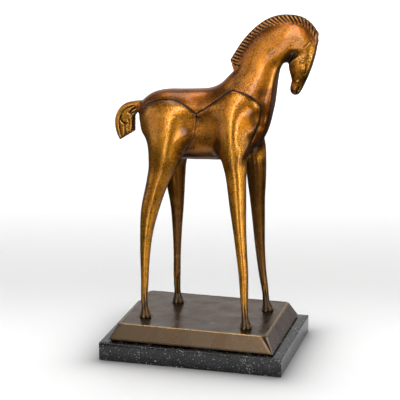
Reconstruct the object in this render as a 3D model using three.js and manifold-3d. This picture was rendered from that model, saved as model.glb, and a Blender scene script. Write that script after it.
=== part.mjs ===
// A long-legged bronze foal with its head bowed, on a bevelled bronze base and a black marble plinth.
// Millimetres, +Z up. The horse faces +X and its left side is +Y.
// The origin is under the middle of the plinth.
import * as THREE from "three";
import Module from "manifold-3d";

// Driving dimensions.
const plinth = { length: 200, width: 146, height: 20, arris: 0.8 };
const base = {
  length: 181,
  width: 132,
  height: 18.5,
  slopeX: 9.5,
  slopeY: 7.6,
  footHeight: 1.3,
  footInset: 2.2,
  shift: -1,
  edge: 0.8,
};
const jointGap = 0.3; // between two pieces that stand on each other
const plinthTop = plinth.height;
const baseUnderside = plinthTop + jointGap;
const baseTop = baseUnderside + base.height;
const hoofLevel = baseTop + jointGap;
const midPlane = -3; // the horse stands a little to the right of the plinth's middle
const cellSize = 2; // of the grid that the horse's skin is first drawn on
const horseTriangles = 6050; // before the mane and the smaller lines are cut
const spare = 2; // what the legs run on below the hooves, until they are cut level
const swell = { height: 4.5, reach: 20 }; // how far haunch and shoulder stand out, and over what distance
const narrowFlank = { x: 1, halfLength: 33, share: 0.27, foot: [196, 212], top: [256, 278] };
const narrowChest = { x: 57, halfLength: 20, share: 0.25, foot: [222, 245], top: [262, 284] };
const jawHollow = { neckSide: 11, headSide: 3.6, depth: 4.2 };

// Catmull-Rom interpolation between b and c.
function eased(a, b, c, d, t) {
  return b + (t / 2) * (c - a + t * (2 * a - 5 * b + 4 * c - d + t * (3 * (b - c) + d - a)));
}

// A smooth line in the horse's side view, through a few [x, z] points.
const curveSteps = 5;
function curve(...points) {
  const at = (i) => points[Math.min(Math.max(i, 0), points.length - 1)];
  const line = [];
  for (let i = 0; i < points.length - 1; i++)
    for (let step = 0; step < curveSteps; step++) {
      const share = step / curveSteps;
      line.push([0, 1].map((k) => eased(at(i - 1)[k], at(i)[k], at(i + 1)[k], at(i + 2)[k], share)));
    }
  line.push(points.at(-1));
  return line;
}

// The nearest place on a line: how far away it is (squared), what share of the line comes before it,
// and on which side the point lies (+1 on the left).
function nearestOn(line, x, z) {
  let best = { squared: Infinity, along: 0, side: 1 };
  for (let i = 0; i < line.length - 1; i++) {
    const [ax, az] = line[i];
    const [dx, dz] = [line[i + 1][0] - ax, line[i + 1][1] - az];
    const [px, pz] = [x - ax, z - az];
    const share = Math.min(Math.max((px * dx + pz * dz) / (dx * dx + dz * dz), 0), 1);
    const squared = (px - dx * share) ** 2 + (pz - dz * share) ** 2;
    if (squared < best.squared)
      best = { squared, along: (i + share) / (line.length - 1), side: dx * pz - dz * px < 0 ? -1 : 1 };
  }
  return best;
}

function distanceOutside(closedLine, x, z) {
  let inside = false;
  for (let i = 0; i < closedLine.length - 1; i++) {
    const [ax, az] = closedLine[i];
    const [bx, bz] = closedLine[i + 1];
    if (az > z !== bz > z && x < ax + ((z - az) / (bz - az)) * (bx - ax)) inside = !inside;
  }
  const distance = Math.sqrt(nearestOn(closedLine, x, z).squared);
  return inside ? -distance : distance;
}

// Each mass of the horse is a run of rings: a centre, a half depth in the side view and a half width across.
const ring = (x, y, z, deep, wide) => ({ x, y, z, deep, wide });

const trunk = {
  square: 2.2,
  rings: [
    ring(-50, 0, 262.5, 21.5, 19),
    ring(-39, 0, 254, 32.5, 24.5),
    ring(-20, 0, 250, 37.5, 27),
    ring(0, 0, 250.5, 38.3, 27.5),
    ring(19, 0, 252.5, 38.5, 27),
    ring(32, 0, 257.5, 35, 24),
  ],
};
const neck = {
  square: 2.3,
  rings: [
    ring(37, 0, 263, 36, 24),
    ring(47, 0, 282, 31, 21),
    ring(56.5, 0, 301, 25.5, 17.5),
    ring(61.5, 0, 319.5, 23.5, 15),
    ring(70, 0, 332.5, 23.5, 14),
    ring(81, 0, 341, 22.5, 13.5),
    ring(92.5, 0, 346, 19.5, 12.5),
    ring(103, 0, 349, 13.5, 11.5),
    ring(109, 0, 346, 10.5, 10.5),
  ],
};
const head = {
  square: 2.8,
  rings: [
    ring(105, 0, 341, 13.5, 11),
    ring(103.3, 0, 329, 14, 11.5),
    ring(102, 0, 318, 13, 10.5),
    ring(101, 0, 308.5, 9.8, 8),
    ring(99.8, 0, 301.5, 7.5, 6.4),
    ring(98, 0, 296, 7, 5.8),
    ring(96.4, 0, 292.4, 5.8, 5.2),
  ],
};

// A leg hangs from its haunch or shoulder and ends in a foot that flares on the base.
// The lean is how far the foot steps forward of the leg above it.
const leg = (foot, ...upper) => ({
  square: 2,
  foot,
  rings: [
    ...upper,
    ring(foot.x - foot.lean, foot.y, hoofLevel + 22, 4.1, 4.2),
    ring(foot.x - 0.7 * foot.lean, foot.y, hoofLevel + 12, 4, 4.2),
    ring(foot.x - 0.3 * foot.lean, foot.y, hoofLevel + 6, 4.9, 5),
    ring(foot.x, foot.y, hoofLevel + 1.5, 6.2, 6.2),
    ring(foot.x, foot.y, hoofLevel - 4, 6.4, 6.4),
  ],
});

// The toes of each foot spread like roots: [degrees from straight ahead to the right, reach, thickness].
const toes = [
  [5, 10.5, 1.1],
  [48, 6.2, 2.4],
  [100, 5.6, 2.7],
  [150, 6.2, 2.3],
  [182, 9.5, 1.1],
  [240, 6.2, 2.4],
  [310, 6.2, 2.4],
];
function toesOf({ foot }) {
  return toes.map(([turn, reach, thick]) => {
    const ahead = Math.cos((turn * Math.PI) / 180);
    const aside = -Math.sin((turn * Math.PI) / 180);
    const ball = (out, up, radius) =>
      ring(foot.x + out * ahead, foot.y + out * aside, hoofLevel + up, radius, radius);
    const rings = [ball(2, 7, 2.2), ball(0.6 * reach, 2.2, 0.5 * thick + 1), ball(reach, 0.3 * thick, thick)];
    return { square: 2, rings };
  });
}

const rightHind = leg(
  { x: -59.8, y: -28, lean: 1.4 },
  ring(-35, -12, 254, 19, 15),
  ring(-36, -15, 240, 19, 16),
  ring(-38, -18, 224, 17.8, 15),
  ring(-42.4, -20.5, 206, 14.3, 12.6),
  ring(-48.5, -22, 185, 11.4, 10.6),
  ring(-55.5, -23.5, 158, 9.6, 8.8),
  ring(-59.1, -25, 131, 6.9, 6.8),
  ring(-60.5, -26, 104, 5.3, 5.3),
  ring(-60.9, -26.5, 80, 4.4, 4.4),
);
const leftHind = leg(
  { x: -38.8, y: 28, lean: 1.2 },
  ring(-35, 12, 254, 19, 15),
  ring(-36, 15, 240, 19, 16),
  ring(-38, 18, 224, 17.8, 15),
  ring(-41, 20, 206, 14.5, 12.8),
  ring(-39.8, 21.5, 183, 11, 10.6),
  ring(-38.4, 23.5, 154, 7.5, 8),
  ring(-38.9, 25.5, 126, 5.4, 5.8),
  ring(-39.5, 27, 98, 4.3, 4.4),
  ring(-39.9, 27.5, 75, 4.2, 4.2),
);
const rightFore = leg(
  { x: 54, y: -36, lean: 1.8 },
  ring(38, -10, 266, 17, 13),
  ring(38.5, -14, 252, 18.5, 15),
  ring(37.4, -18.5, 236, 16.4, 14),
  ring(37, -21.5, 220, 13.5, 12.2),
  ring(39.6, -24.5, 198, 10.8, 10.2),
  ring(42.1, -27.5, 172, 9.1, 8.8),
  ring(44.8, -30, 146, 7.2, 7.2),
  ring(47.6, -32, 121, 6.1, 6),
  ring(50.3, -33.5, 95, 5.3, 5.3),
);
const leftFore = leg(
  { x: 63.5, y: 27, lean: 3 },
  ring(39, 10, 266, 17, 13),
  ring(41, 14, 252, 18, 15),
  ring(45, 18.5, 236, 15, 14),
  ring(49, 21, 220, 12, 12.2),
  ring(50.4, 23, 193, 10.6, 10.2),
  ring(51.4, 24.5, 166, 8.3, 8.4),
  ring(52.8, 25.5, 140, 6.9, 6.8),
  ring(54.4, 26, 112, 5.6, 5.5),
  ring(57, 26.5, 85, 4.6, 4.5),
);

// Lines of the side view. Each is trimmed or carved the same way on both flanks.
const neckFront = curve(
  [30, 208],
  [43, 218],
  [54, 230],
  [62.5, 243],
  [68.5, 257],
  [72.6, 272],
  [74.4, 288],
  [76.4, 304],
  [78.8, 313],
  [83, 319],
  [89, 321],
  [101, 323],
  [135, 333],
);
const faceFront = curve([121, 364], [119.2, 350], [116.2, 331], [111.5, 314], [105.5, 298], [98, 283]);
const maneCrest = curve(
  [26.5, 320.5],
  [39.4, 341],
  [52, 355],
  [65, 364.7],
  [78, 369.4],
  [91, 370.3],
  [103, 368],
  [112.5, 361.5],
  [120, 351.5],
);
const maneFoot = curve(
  [117, 346],
  [104, 356],
  [90, 360],
  [74, 358],
  [60, 349],
  [48, 335],
  [39, 319],
  [33.5, 307.5],
);
const maneOutline = [...maneCrest, ...maneFoot, maneCrest[0]];
const tailBack = curve(
  [-68, 272.5],
  [-79, 271],
  [-88, 268.5],
  [-94.6, 263],
  [-99, 254],
  [-99.6, 244],
  [-97.5, 235],
  [-94.3, 228.5],
);
const tailOutline = [...tailBack, [-78.6, 238.5], [-78.4, 255], [-74.5, 260], [-66, 258], tailBack[0]];
const haunchEdge = curve(
  [-72, 236],
  [-69, 254],
  [-63.5, 266.5],
  [-60, 271.5],
  [-50.5, 275.8],
  [-39, 278.2],
  [-29, 277.9],
  [-20, 275.3],
  [-12.3, 271.4],
  [-4.6, 265],
);
const flankFold = curve([-4.6, 265], [-4.9, 257], [-5.6, 248.5], [-8, 240], [-12, 231.5], [-19, 223]);
const haunchOutline = [...haunchEdge, ...flankFold, [-27, 196], [-72, 196], haunchEdge[0]];
const shoulderEdge = curve(
  [-4.6, 265],
  [5, 271.8],
  [18.4, 282],
  [29.5, 289.8],
  [35, 291.4],
  [44, 289.8],
  [54, 286],
  [60.5, 280],
  [63.5, 273],
  [62.5, 263],
  [58.5, 250],
  [54.5, 240],
  [49, 222],
);
const shoulderOutline = [...shoulderEdge, [46, 196], [-27, 196], ...flankFold.toReversed()];
const jawValley = curve([88.5, 320.5], [91.5, 324], [96.5, 328.2], [102, 331.6], [108, 337]);

// Splits a run of rings into short cones on a smooth curve.
const stepsBetweenRings = 4;
const boxy = 1.15; // how far the corner of an oval section reaches past its larger radius
function conesOf(rings) {
  const at = (i) => rings[Math.min(Math.max(i, 0), rings.length - 1)];
  const fine = [];
  for (let i = 0; i < rings.length - 1; i++)
    for (let step = 0; step < stepsBetweenRings; step++) {
      const share = step / stepsBetweenRings;
      const between = (key) => eased(at(i - 1)[key], at(i)[key], at(i + 1)[key], at(i + 2)[key], share);
      fine.push(ring(...["x", "y", "z", "deep", "wide"].map(between)));
    }
  fine.push(rings.at(-1));
  return fine.slice(1).map((end, i) => {
    const start = fine[i];
    const axis = new THREE.Vector3(end.x - start.x, end.y - start.y, end.z - start.z);
    const length = axis.length();
    axis.normalize();
    const across = new THREE.Vector3(0, 1, 0).addScaledVector(axis, -axis.y).normalize();
    const reach = boxy * Math.max(start.deep, start.wide, end.deep, end.wide);
    return { start, end, axis, across, length, reach };
  });
}

// Roughly the distance from a point to a mass with oval sections, negative inside.
function fieldOf({ rings, square }) {
  const cones = conesOf(rings);
  return (x, y, z) => {
    let nearest = Infinity;
    for (const { start, end, axis, across, length, reach } of cones) {
      const px = x - start.x;
      const py = y - start.y;
      const pz = z - start.z;
      const run = Math.min(Math.max(px * axis.x + py * axis.y + pz * axis.z, 0), length);
      const dx = px - axis.x * run;
      const dy = py - axis.y * run;
      const dz = pz - axis.z * run;
      const away = Math.sqrt(dx * dx + dy * dy + dz * dz);
      if (away - reach > nearest) continue;
      const share = run / length;
      const deep = start.deep + (end.deep - start.deep) * share;
      const wide = start.wide + (end.wide - start.wide) * share;
      const sideways = Math.abs(dx * across.x + dy * across.y + dz * across.z);
      const inPlane = Math.sqrt(Math.max(away * away - sideways * sideways, 0));
      const ratio = ((inPlane / deep) ** square + (sideways / wide) ** square) ** (1 / square);
      nearest = Math.min(nearest, away - away / Math.max(ratio, 1e-6));
    }
    return nearest;
  };
}

// Two masses joined with a fillet of about that size.
function joined(a, b, fillet) {
  const overlap = Math.max(fillet - Math.abs(a - b), 0) / fillet;
  return Math.min(a, b) - (overlap * overlap * fillet) / 4;
}

// What two masses share, with its edge rounded.
function trimmed(a, b, rounding) {
  return -joined(-a, -b, rounding);
}

// From 0 to 1 between two values, eased at both ends.
function ramp(value, from, to) {
  const t = Math.min(Math.max((value - from) / (to - from), 0), 1);
  return t * t * (3 - 2 * t);
}

// A quarter-round swelling inside an outline, with a crease where it starts.
function swelling(outline, x, z) {
  const inward = Math.min(Math.max(-distanceOutside(outline, x, z) / swell.reach, 0), 1);
  return swell.height * Math.pow(1 - (1 - inward) ** 2, 0.7);
}

// What share of its width the body loses there.
function narrowing(place, x, z) {
  const away = Math.min(Math.abs(x - place.x) / place.halfLength, 1);
  return place.share * (1 - away ** 2) ** 2 * ramp(z, ...place.foot) * (1 - ramp(z, ...place.top));
}

const masses = {};
for (const [name, mass] of Object.entries({ trunk, neck, head, rightHind, leftHind, rightFore, leftFore }))
  masses[name] = fieldOf(mass);
const feet = [rightHind, leftHind, rightFore, leftFore].map((mass) => ({
  place: mass.foot,
  toes: toesOf(mass).map(fieldOf),
}));

// The horse's skin is where this is zero, and it is negative inside the metal.
function horseField(x, worldY, z) {
  const aside = Math.abs(worldY - midPlane);
  const y = (worldY - midPlane) / (1 - narrowing(narrowFlank, x, z) - narrowing(narrowChest, x, z));
  let d = Math.min(y < 0 ? masses.rightFore(x, y, z) : masses.leftFore(x, y, z), 1e3);
  const hind = y < 0 ? masses.rightHind(x, y, z) : masses.leftHind(x, y, z);
  d = z > 190 ? d : Math.min(d, hind);
  if (z > 190) {
    const front = nearestOn(neckFront, x, z);
    const neckBody = trimmed(masses.neck(x, y, z), -front.side * Math.sqrt(front.squared), 1.6);
    const body = joined(masses.trunk(x, y, z), neckBody, 9);
    d = joined(joined(body, d, 9), hind, 9);
  }
  if (z > 270 && x > 10) {
    const face = nearestOn(faceFront, x, z);
    const faceDistance = face.side * Math.sqrt(face.squared);
    d = joined(d, trimmed(masses.head(x, y, z), faceDistance, 1.4), 3);
    const crest = Math.sqrt(nearestOn(maneCrest, x, z).squared);
    const thickness = 2.2 + 0.55 * Math.min(crest, 11);
    d = joined(d, trimmed(distanceOutside(maneOutline, x, z), aside - thickness, 1), 2);
    const valley = nearestOn(jawValley, x, z);
    const valleyAway = Math.sqrt(valley.squared) / (valley.side > 0 ? jawHollow.neckSide : jawHollow.headSide);
    const valleyDepth = jawHollow.depth * (1 - ramp(valley.along, 0.35, 1));
    if (valleyAway < 1) d += ramp(aside, 2, 7) * valleyDepth * (1 - valleyAway ** 2) ** 2;
  }
  if (x < -60 && z > 220) d = joined(d, trimmed(distanceOutside(tailOutline, x, z), aside - 6.3, 4), 3);
  if (Math.abs(d) < 12 && z > 200 && z < 300 && x > -72 && x < 70 && aside > 5) {
    const flank = ramp(aside, 5, 15) * ramp(z, 200, 240);
    d -= flank * (swelling(haunchOutline, x, z) + swelling(shoulderOutline, x, z));
  }
  if (z < hoofLevel + 16) {
    for (const { place, toes: toeFields } of feet) {
      if (Math.abs(x - place.x) > 22 || Math.abs(y - place.y) > 22) continue;
      for (const toe of toeFields) d = joined(d, toe(x, y, z), 1.6);
    }
    d = Math.max(d, hoofLevel - spare - z);
  }
  return d;
}

const creases = [haunchEdge, shoulderEdge, flankFold];
const creaseDepth = 1.3;
const creaseWidth = 1.9;

// The same skin with the V-grooves round haunch and shoulder.
function carvedField(x, y, z) {
  const d = horseField(x, y, z);
  if (Math.abs(d) > 4 || !onFlank(x, y, z)) return d;
  const away = Math.min(...creases.map((line) => Math.sqrt(nearestOn(line, x, z).squared)));
  return d + creaseDepth * Math.max(1 - away / creaseWidth, 0);
}

function onFlank(x, y, z) {
  return Math.abs(y - midPlane) > 6 && x > -72 && x < 68 && z > 205 && z < 296;
}

// Moves a corner of the mesh that is near a crease onto the crease, and back onto the skin.
function ontoCrease(place) {
  let [x, y, z] = place;
  if (!onFlank(x, y, z)) return place;
  let nearest = { squared: Infinity };
  let nearestLine;
  for (const line of creases) {
    const found = nearestOn(line, x, z);
    if (found.squared < nearest.squared) [nearest, nearestLine] = [found, line];
  }
  if (nearest.squared > (0.5 * cellSize) ** 2) return place;
  const step = nearest.along * (nearestLine.length - 1);
  const i = Math.min(Math.floor(step), nearestLine.length - 2);
  [x, z] = [0, 1].map((k) => nearestLine[i][k] + (step - i) * (nearestLine[i + 1][k] - nearestLine[i][k]));
  for (let round = 0; round < 4; round++) {
    const slope = (carvedField(x, y + 0.05, z) - carvedField(x, y - 0.05, z)) / 0.1;
    if (Math.abs(slope) < 0.3) return place;
    y -= Math.min(Math.max(carvedField(x, y, z) / slope, -1), 1);
  }
  return [x, y, z];
}

// The corners of a grid cell, numbered by their bits, and its twelve edges.
const corners = [...Array(8).keys()].map((c) => [c & 1, (c >> 1) & 1, (c >> 2) & 1]);
const cellEdges = corners.flatMap((_, corner) =>
  [1, 2, 4].filter((bit) => !(corner & bit)).map((bit) => [corner, corner | bit]),
);

// Surface nets: one vertex in each cell that the surface crosses, moved onto the surface.
// Blocks of cells that lie well inside or well outside are skipped.
function polygonise(field, low, high, cell) {
  const block = 4;
  const count = low.map((v, i) => block * Math.ceil((high[i] - v) / cell / block) + 1);
  const [nx, ny, nz] = count;
  const index = (i, j, k) => i + nx * (j + ny * k);
  const value = new Float32Array(nx * ny * nz);
  const known = new Uint8Array(nx * ny * nz);
  const at = (i, j, k) => field(low[0] + i * cell, low[1] + j * cell, low[2] + k * cell);
  for (let k = 0; k < nz; k += block)
    for (let j = 0; j < ny; j += block)
      for (let i = 0; i < nx; i += block) {
        const middle = at(i + block / 2, j + block / 2, k + block / 2);
        const far = Math.abs(middle) > block * cell * 1.5 + 3;
        for (let c = k; c <= Math.min(k + block, nz - 1); c++)
          for (let b = j; b <= Math.min(j + block, ny - 1); b++)
            for (let a = i; a <= Math.min(i + block, nx - 1); a++) {
              const n = index(a, b, c);
              if (known[n]) continue;
              value[n] = far ? middle : at(a, b, c);
              known[n] = far ? 0 : 1;
            }
      }
  fillUnclearCells(value, count, index);
  const vertexOf = new Int32Array(nx * ny * nz).fill(-1);
  const positions = [];
  for (let k = 0; k < nz - 1; k++)
    for (let j = 0; j < ny - 1; j++)
      for (let i = 0; i < nx - 1; i++) {
        const values = corners.map(([a, b, c]) => value[index(i + a, j + b, k + c)]);
        const inside = values.filter((v) => v < 0).length;
        if (inside === 0 || inside === 8) continue;
        const sum = [0, 0, 0];
        let crossings = 0;
        for (const [a, b] of cellEdges) {
          if (values[a] < 0 === values[b] < 0) continue;
          const share = values[a] / (values[a] - values[b]);
          sum.forEach((_, axis) => {
            sum[axis] += (1 - share) * corners[a][axis] + share * corners[b][axis];
          });
          crossings++;
        }
        const place = [i, j, k].map((n, axis) => low[axis] + (n + sum[axis] / crossings) * cell);
        vertexOf[index(i, j, k)] = positions.length;
        positions.push(ontoCrease(ontoSurface(field, place, cell)));
      }
  const triangles = [];
  const quad = (a, b, c, d, flip) => {
    const [p, q, r, s] = flip ? [d, c, b, a] : [a, b, c, d];
    triangles.push([p, q, r], [p, r, s]);
  };
  for (let k = 1; k < nz - 1; k++)
    for (let j = 1; j < ny - 1; j++)
      for (let i = 1; i < nx - 1; i++) {
        const here = value[index(i, j, k)] < 0;
        const cellAt = (a, b, c) => vertexOf[index(i - a, j - b, k - c)];
        if (here !== value[index(i + 1, j, k)] < 0)
          quad(cellAt(0, 1, 1), cellAt(0, 0, 1), cellAt(0, 0, 0), cellAt(0, 1, 0), !here);
        if (here !== value[index(i, j + 1, k)] < 0)
          quad(cellAt(1, 0, 1), cellAt(1, 0, 0), cellAt(0, 0, 0), cellAt(0, 0, 1), !here);
        if (here !== value[index(i, j, k + 1)] < 0)
          quad(cellAt(1, 1, 0), cellAt(0, 1, 0), cellAt(0, 0, 0), cellAt(1, 0, 0), !here);
      }
  return { positions, triangles };
}

// Fills the corner of least value in each cell where one vertex couldn't hold the surface.
function fillUnclearCells(value, [nx, ny, nz], index) {
  const simple = [...Array(256).keys()].map(isSimpleCell);
  for (let filled = 1; filled > 0; ) {
    filled = 0;
    for (let k = 0; k < nz - 1; k++)
      for (let j = 0; j < ny - 1; j++)
        for (let i = 0; i < nx - 1; i++) {
          const at = corners.map(([a, b, c]) => index(i + a, j + b, k + c));
          const signs = at.reduce((bits, n, corner) => (value[n] < 0 ? bits | (1 << corner) : bits), 0);
          if (simple[signs]) continue;
          const outside = at.filter((n) => value[n] >= 0);
          const least = outside.reduce((a, b) => (value[b] < value[a] ? b : a));
          value[least] = -0.01;
          filled++;
        }
  }
}

// A cell is simple when its inside corners hang together, its outside corners do too, and no face is a
// chequerboard. Each bit of the number says that a corner is inside.
function isSimpleCell(signs) {
  for (const sign of [0, 1]) {
    const members = [...Array(8).keys()].filter((c) => ((signs >> c) & 1) === sign);
    const reached = new Set(members.slice(0, 1));
    for (let round = 0; round < 8; round++)
      for (const [a, b] of cellEdges) {
        if (!members.includes(a) || !members.includes(b)) continue;
        if (reached.has(a) || reached.has(b)) reached.add(a).add(b);
      }
    if (reached.size !== members.length) return false;
  }
  for (const [p, q, r] of [[1, 2, 4], [1, 4, 2], [2, 4, 1]])
    for (const from of [0, r]) {
      const [a, b, c, d] = [from, from | p, from | p | q, from | q].map((corner) => (signs >> corner) & 1);
      if (a === c && b === d && a !== b) return false;
    }
  return true;
}

function ontoSurface(field, place, cell) {
  const step = cell / 20;
  const [x, y, z] = place;
  const here = field(x, y, z);
  const slope = [
    (field(x + step, y, z) - field(x - step, y, z)) / (2 * step),
    (field(x, y + step, z) - field(x, y - step, z)) / (2 * step),
    (field(x, y, z + step) - field(x, y, z - step)) / (2 * step),
  ];
  const steepness = Math.max(slope[0] ** 2 + slope[1] ** 2 + slope[2] ** 2, 0.05);
  const move = Math.min(Math.max(here / steepness, -cell / 2), cell / 2);
  return place.map((v, axis) => v - slope[axis] * move);
}

// A heap that gives back the cheapest entry first.
class CheapestFirst {
  entries = [];
  swap(i, j) {
    [this.entries[i], this.entries[j]] = [this.entries[j], this.entries[i]];
  }
  push(entry) {
    this.entries.push(entry);
    let i = this.entries.length - 1;
    while (i > 0) {
      const parent = (i - 1) >> 1;
      if (this.entries[parent].cost <= this.entries[i].cost) return;
      this.swap(i, parent);
      i = parent;
    }
  }
  pop() {
    this.swap(0, this.entries.length - 1);
    const cheapest = this.entries.pop();
    const { length } = this.entries;
    let i = 0;
    while (true) {
      let least = i;
      for (const child of [2 * i + 1, 2 * i + 2])
        if (child < length && this.entries[child].cost < this.entries[least].cost) least = child;
      if (least === i) return cheapest;
      this.swap(i, least);
      i = least;
    }
  }
}

// A quadric holds ten numbers: the squared distances to a set of planes, as a function of the place.
function addPlane(quadric, normal, offset, weight) {
  const plane = [normal.x, normal.y, normal.z, offset];
  let n = 0;
  for (let i = 0; i < 4; i++)
    for (let j = i; j < 4; j++) {
      quadric[n] += weight * plane[i] * plane[j];
      n++;
    }
}

function squaredDistances(q, { x, y, z }) {
  const alongX = x * (q[0] * x + 2 * (q[1] * y + q[2] * z + q[3]));
  const alongY = y * (q[4] * y + 2 * (q[5] * z + q[6]));
  const alongZ = z * (q[7] * z + 2 * q[8]);
  return alongX + alongY + alongZ + q[9];
}

// Where one vertex serves best for both ends of an edge.
function bestPlace(p, q, quadricP, quadricQ) {
  const sum = quadricP.map((value, i) => value + quadricQ[i]);
  const [xx, xy, xz, x, yy, yz, y, zz, z] = sum;
  const middle = new THREE.Vector3().addVectors(p, q).multiplyScalar(0.5);
  const choices = [p, q, middle];
  const slopes = new THREE.Matrix3().set(xx, xy, xz, xy, yy, yz, xz, yz, zz);
  if (Math.abs(slopes.determinant()) > 1e-9) {
    const exact = new THREE.Vector3(-x, -y, -z).applyMatrix3(slopes.invert());
    if (exact.distanceTo(middle) < 2 * p.distanceTo(q)) choices.unshift(exact);
  }
  const [best] = choices.toSorted((a, b) => squaredDistances(sum, a) - squaredDistances(sum, b));
  return { place: best.clone(), cost: squaredDistances(sum, best) };
}

function areaNormal(a, b, c) {
  return new THREE.Vector3().subVectors(b, a).cross(new THREE.Vector3().subVectors(c, a));
}

// Collapses the edges that matter least to the shape until so many triangles are left.
const roundness = 0.003; // keeps triangles even where the skin is flat
const gone = -1e6; // stamp of a vertex that was merged into another
function simplified({ positions, triangles }, target) {
  const points = positions.map((p) => new THREE.Vector3(...p));
  const quadrics = points.map(() => new Float64Array(10));
  const facesAt = points.map(() => new Set());
  const stamp = new Int32Array(points.length);
  const faces = triangles.map((t) => t.slice());
  faces.forEach((face, f) => {
    const normal = areaNormal(...face.map((v) => points[v]));
    const area = normal.length() / 2;
    normal.normalize();
    for (const v of face) {
      facesAt[v].add(f);
      addPlane(quadrics[v], normal, -normal.dot(points[face[0]]), area);
    }
  });
  const axes = [new THREE.Vector3(1, 0, 0), new THREE.Vector3(0, 1, 0), new THREE.Vector3(0, 0, 1)];
  for (let v = 0; v < points.length; v++)
    for (const axis of axes) addPlane(quadrics[v], axis, -points[v].dot(axis), roundness);

  const around = (v) => new Set([...facesAt[v]].flatMap((f) => faces[f]).filter((other) => other !== v));
  const queue = new CheapestFirst();
  const consider = (u, v) => {
    const best = bestPlace(points[u], points[v], quadrics[u], quadrics[v]);
    queue.push({ u, v, stamp: stamp[u] + stamp[v], ...best });
  };
  for (let v = 0; v < points.length; v++) for (const u of around(v)) if (u > v) consider(v, u);

  const folds = (moved, merged, place) =>
    [...facesAt[moved]].some((f) => {
      if (faces[f].includes(merged)) return false;
      const before = areaNormal(...faces[f].map((i) => points[i]));
      const after = areaNormal(...faces[f].map((i) => (i === moved ? place : points[i])));
      return after.length() < 1e-3 || before.dot(after) < 0.3 * before.length() * after.length();
    });
  const merge = (u, v, place) => {
    for (const f of facesAt[v]) {
      const face = faces[f];
      if (face.includes(u)) {
        for (const w of face) if (w !== v) facesAt[w].delete(f);
        faces[f] = null;
      } else {
        face[face.indexOf(v)] = u;
        facesAt[u].add(f);
      }
    }
    facesAt[v].clear();
    quadrics[u] = quadrics[u].map((value, i) => value + quadrics[v][i]);
    points[u] = place;
    stamp[v] = gone;
    stamp[u] += 1;
  };

  let left = faces.length;
  while (left > target && queue.entries.length) {
    const { u, v, stamp: stamped, place } = queue.pop();
    if (stamped !== stamp[u] + stamp[v] || stamp[u] < 0 || stamp[v] < 0) continue;
    const [aroundU, aroundV] = [around(u), around(v)];
    const shared = [...aroundU].filter((w) => aroundV.has(w));
    if (!aroundU.has(v) || shared.length !== 2) continue;
    if (folds(u, v, place) || folds(v, u, place)) continue;
    merge(u, v, place);
    left -= 2;
    for (const w of around(u)) consider(u, w);
  }

  const kept = faces.filter(Boolean);
  const used = [...new Set(kept.flat())];
  const numberOf = new Map(used.map((v, n) => [v, n]));
  return {
    positions: used.map((v) => points[v].toArray()),
    triangles: kept.map((face) => face.map((v) => numberOf.get(v))),
  };
}

// Points of a line at the given shares of its length, each with the line's direction there.
function pointsAlong(line, places) {
  const lengths = [0];
  for (let i = 1; i < line.length; i++)
    lengths.push(lengths[i - 1] + Math.hypot(line[i][0] - line[i - 1][0], line[i][1] - line[i - 1][1]));
  const total = lengths.at(-1);
  return places.map((place) => {
    const distance = Math.min(Math.max(place, 0), 1) * total;
    const i = Math.min(Math.max(lengths.findIndex((l) => l > distance), 1), line.length - 1);
    const share = (distance - lengths[i - 1]) / (lengths[i] - lengths[i - 1]);
    const [dx, dz] = [line[i][0] - line[i - 1][0], line[i][1] - line[i - 1][1]];
    const size = Math.hypot(dx, dz);
    return { x: line[i - 1][0] + share * dx, z: line[i - 1][1] + share * dz, ahead: [dx / size, dz / size] };
  });
}

// Where the skin lies at x and z, on the right (side -1) or left (side +1) flank.
function skinAt(x, z, side) {
  let [inner, outer] = [0, 45];
  if (horseField(x, midPlane, z) > 0) return undefined;
  for (let round = 0; round < 30; round++) {
    const middle = (inner + outer) / 2;
    if (horseField(x, midPlane + side * middle, z) < 0) inner = middle;
    else outer = middle;
  }
  return new THREE.Vector3(x, midPlane + side * inner, z);
}

// A V-shaped cutter along a line on the skin; stations are [x, z, depth].
const furrowLift = 0.8; // how far the cutter stands out of the skin
function furrow(stations, side, width) {
  const points = stations.map(([x, z]) => skinAt(x, z, side));
  const rings = points.map((point, i) => {
    const next = points[Math.min(i + 1, points.length - 1)];
    const along = new THREE.Vector3().subVectors(next, points[Math.max(i - 1, 0)]);
    const step = 0.3;
    const outward = new THREE.Vector3(
      horseField(point.x + step, point.y, point.z) - horseField(point.x - step, point.y, point.z),
      horseField(point.x, point.y + step, point.z) - horseField(point.x, point.y - step, point.z),
      horseField(point.x, point.y, point.z + step) - horseField(point.x, point.y, point.z - step),
    ).normalize();
    const across = new THREE.Vector3().crossVectors(along, outward).normalize();
    const depth = stations[i][2];
    const spread = (width / 2) * (1 + furrowLift / depth);
    const top = point.clone().addScaledVector(outward, furrowLift);
    return [
      point.clone().addScaledVector(outward, -depth),
      top.clone().addScaledVector(across, spread),
      top.clone().addScaledVector(across, -spread),
    ];
  });
  const triangles = [[0, 1, 2]];
  for (let i = 0; i < rings.length - 1; i++)
    for (let c = 0; c < 3; c++) {
      const [a, b] = [3 * i + c, 3 * i + ((c + 1) % 3)];
      triangles.push([a, b + 3, b], [a, a + 3, b + 3]);
    }
  const last = 3 * (rings.length - 1);
  triangles.push([last, last + 2, last + 1]);
  return { positions: rings.flat().map((p) => p.toArray()), triangles };
}

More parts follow.
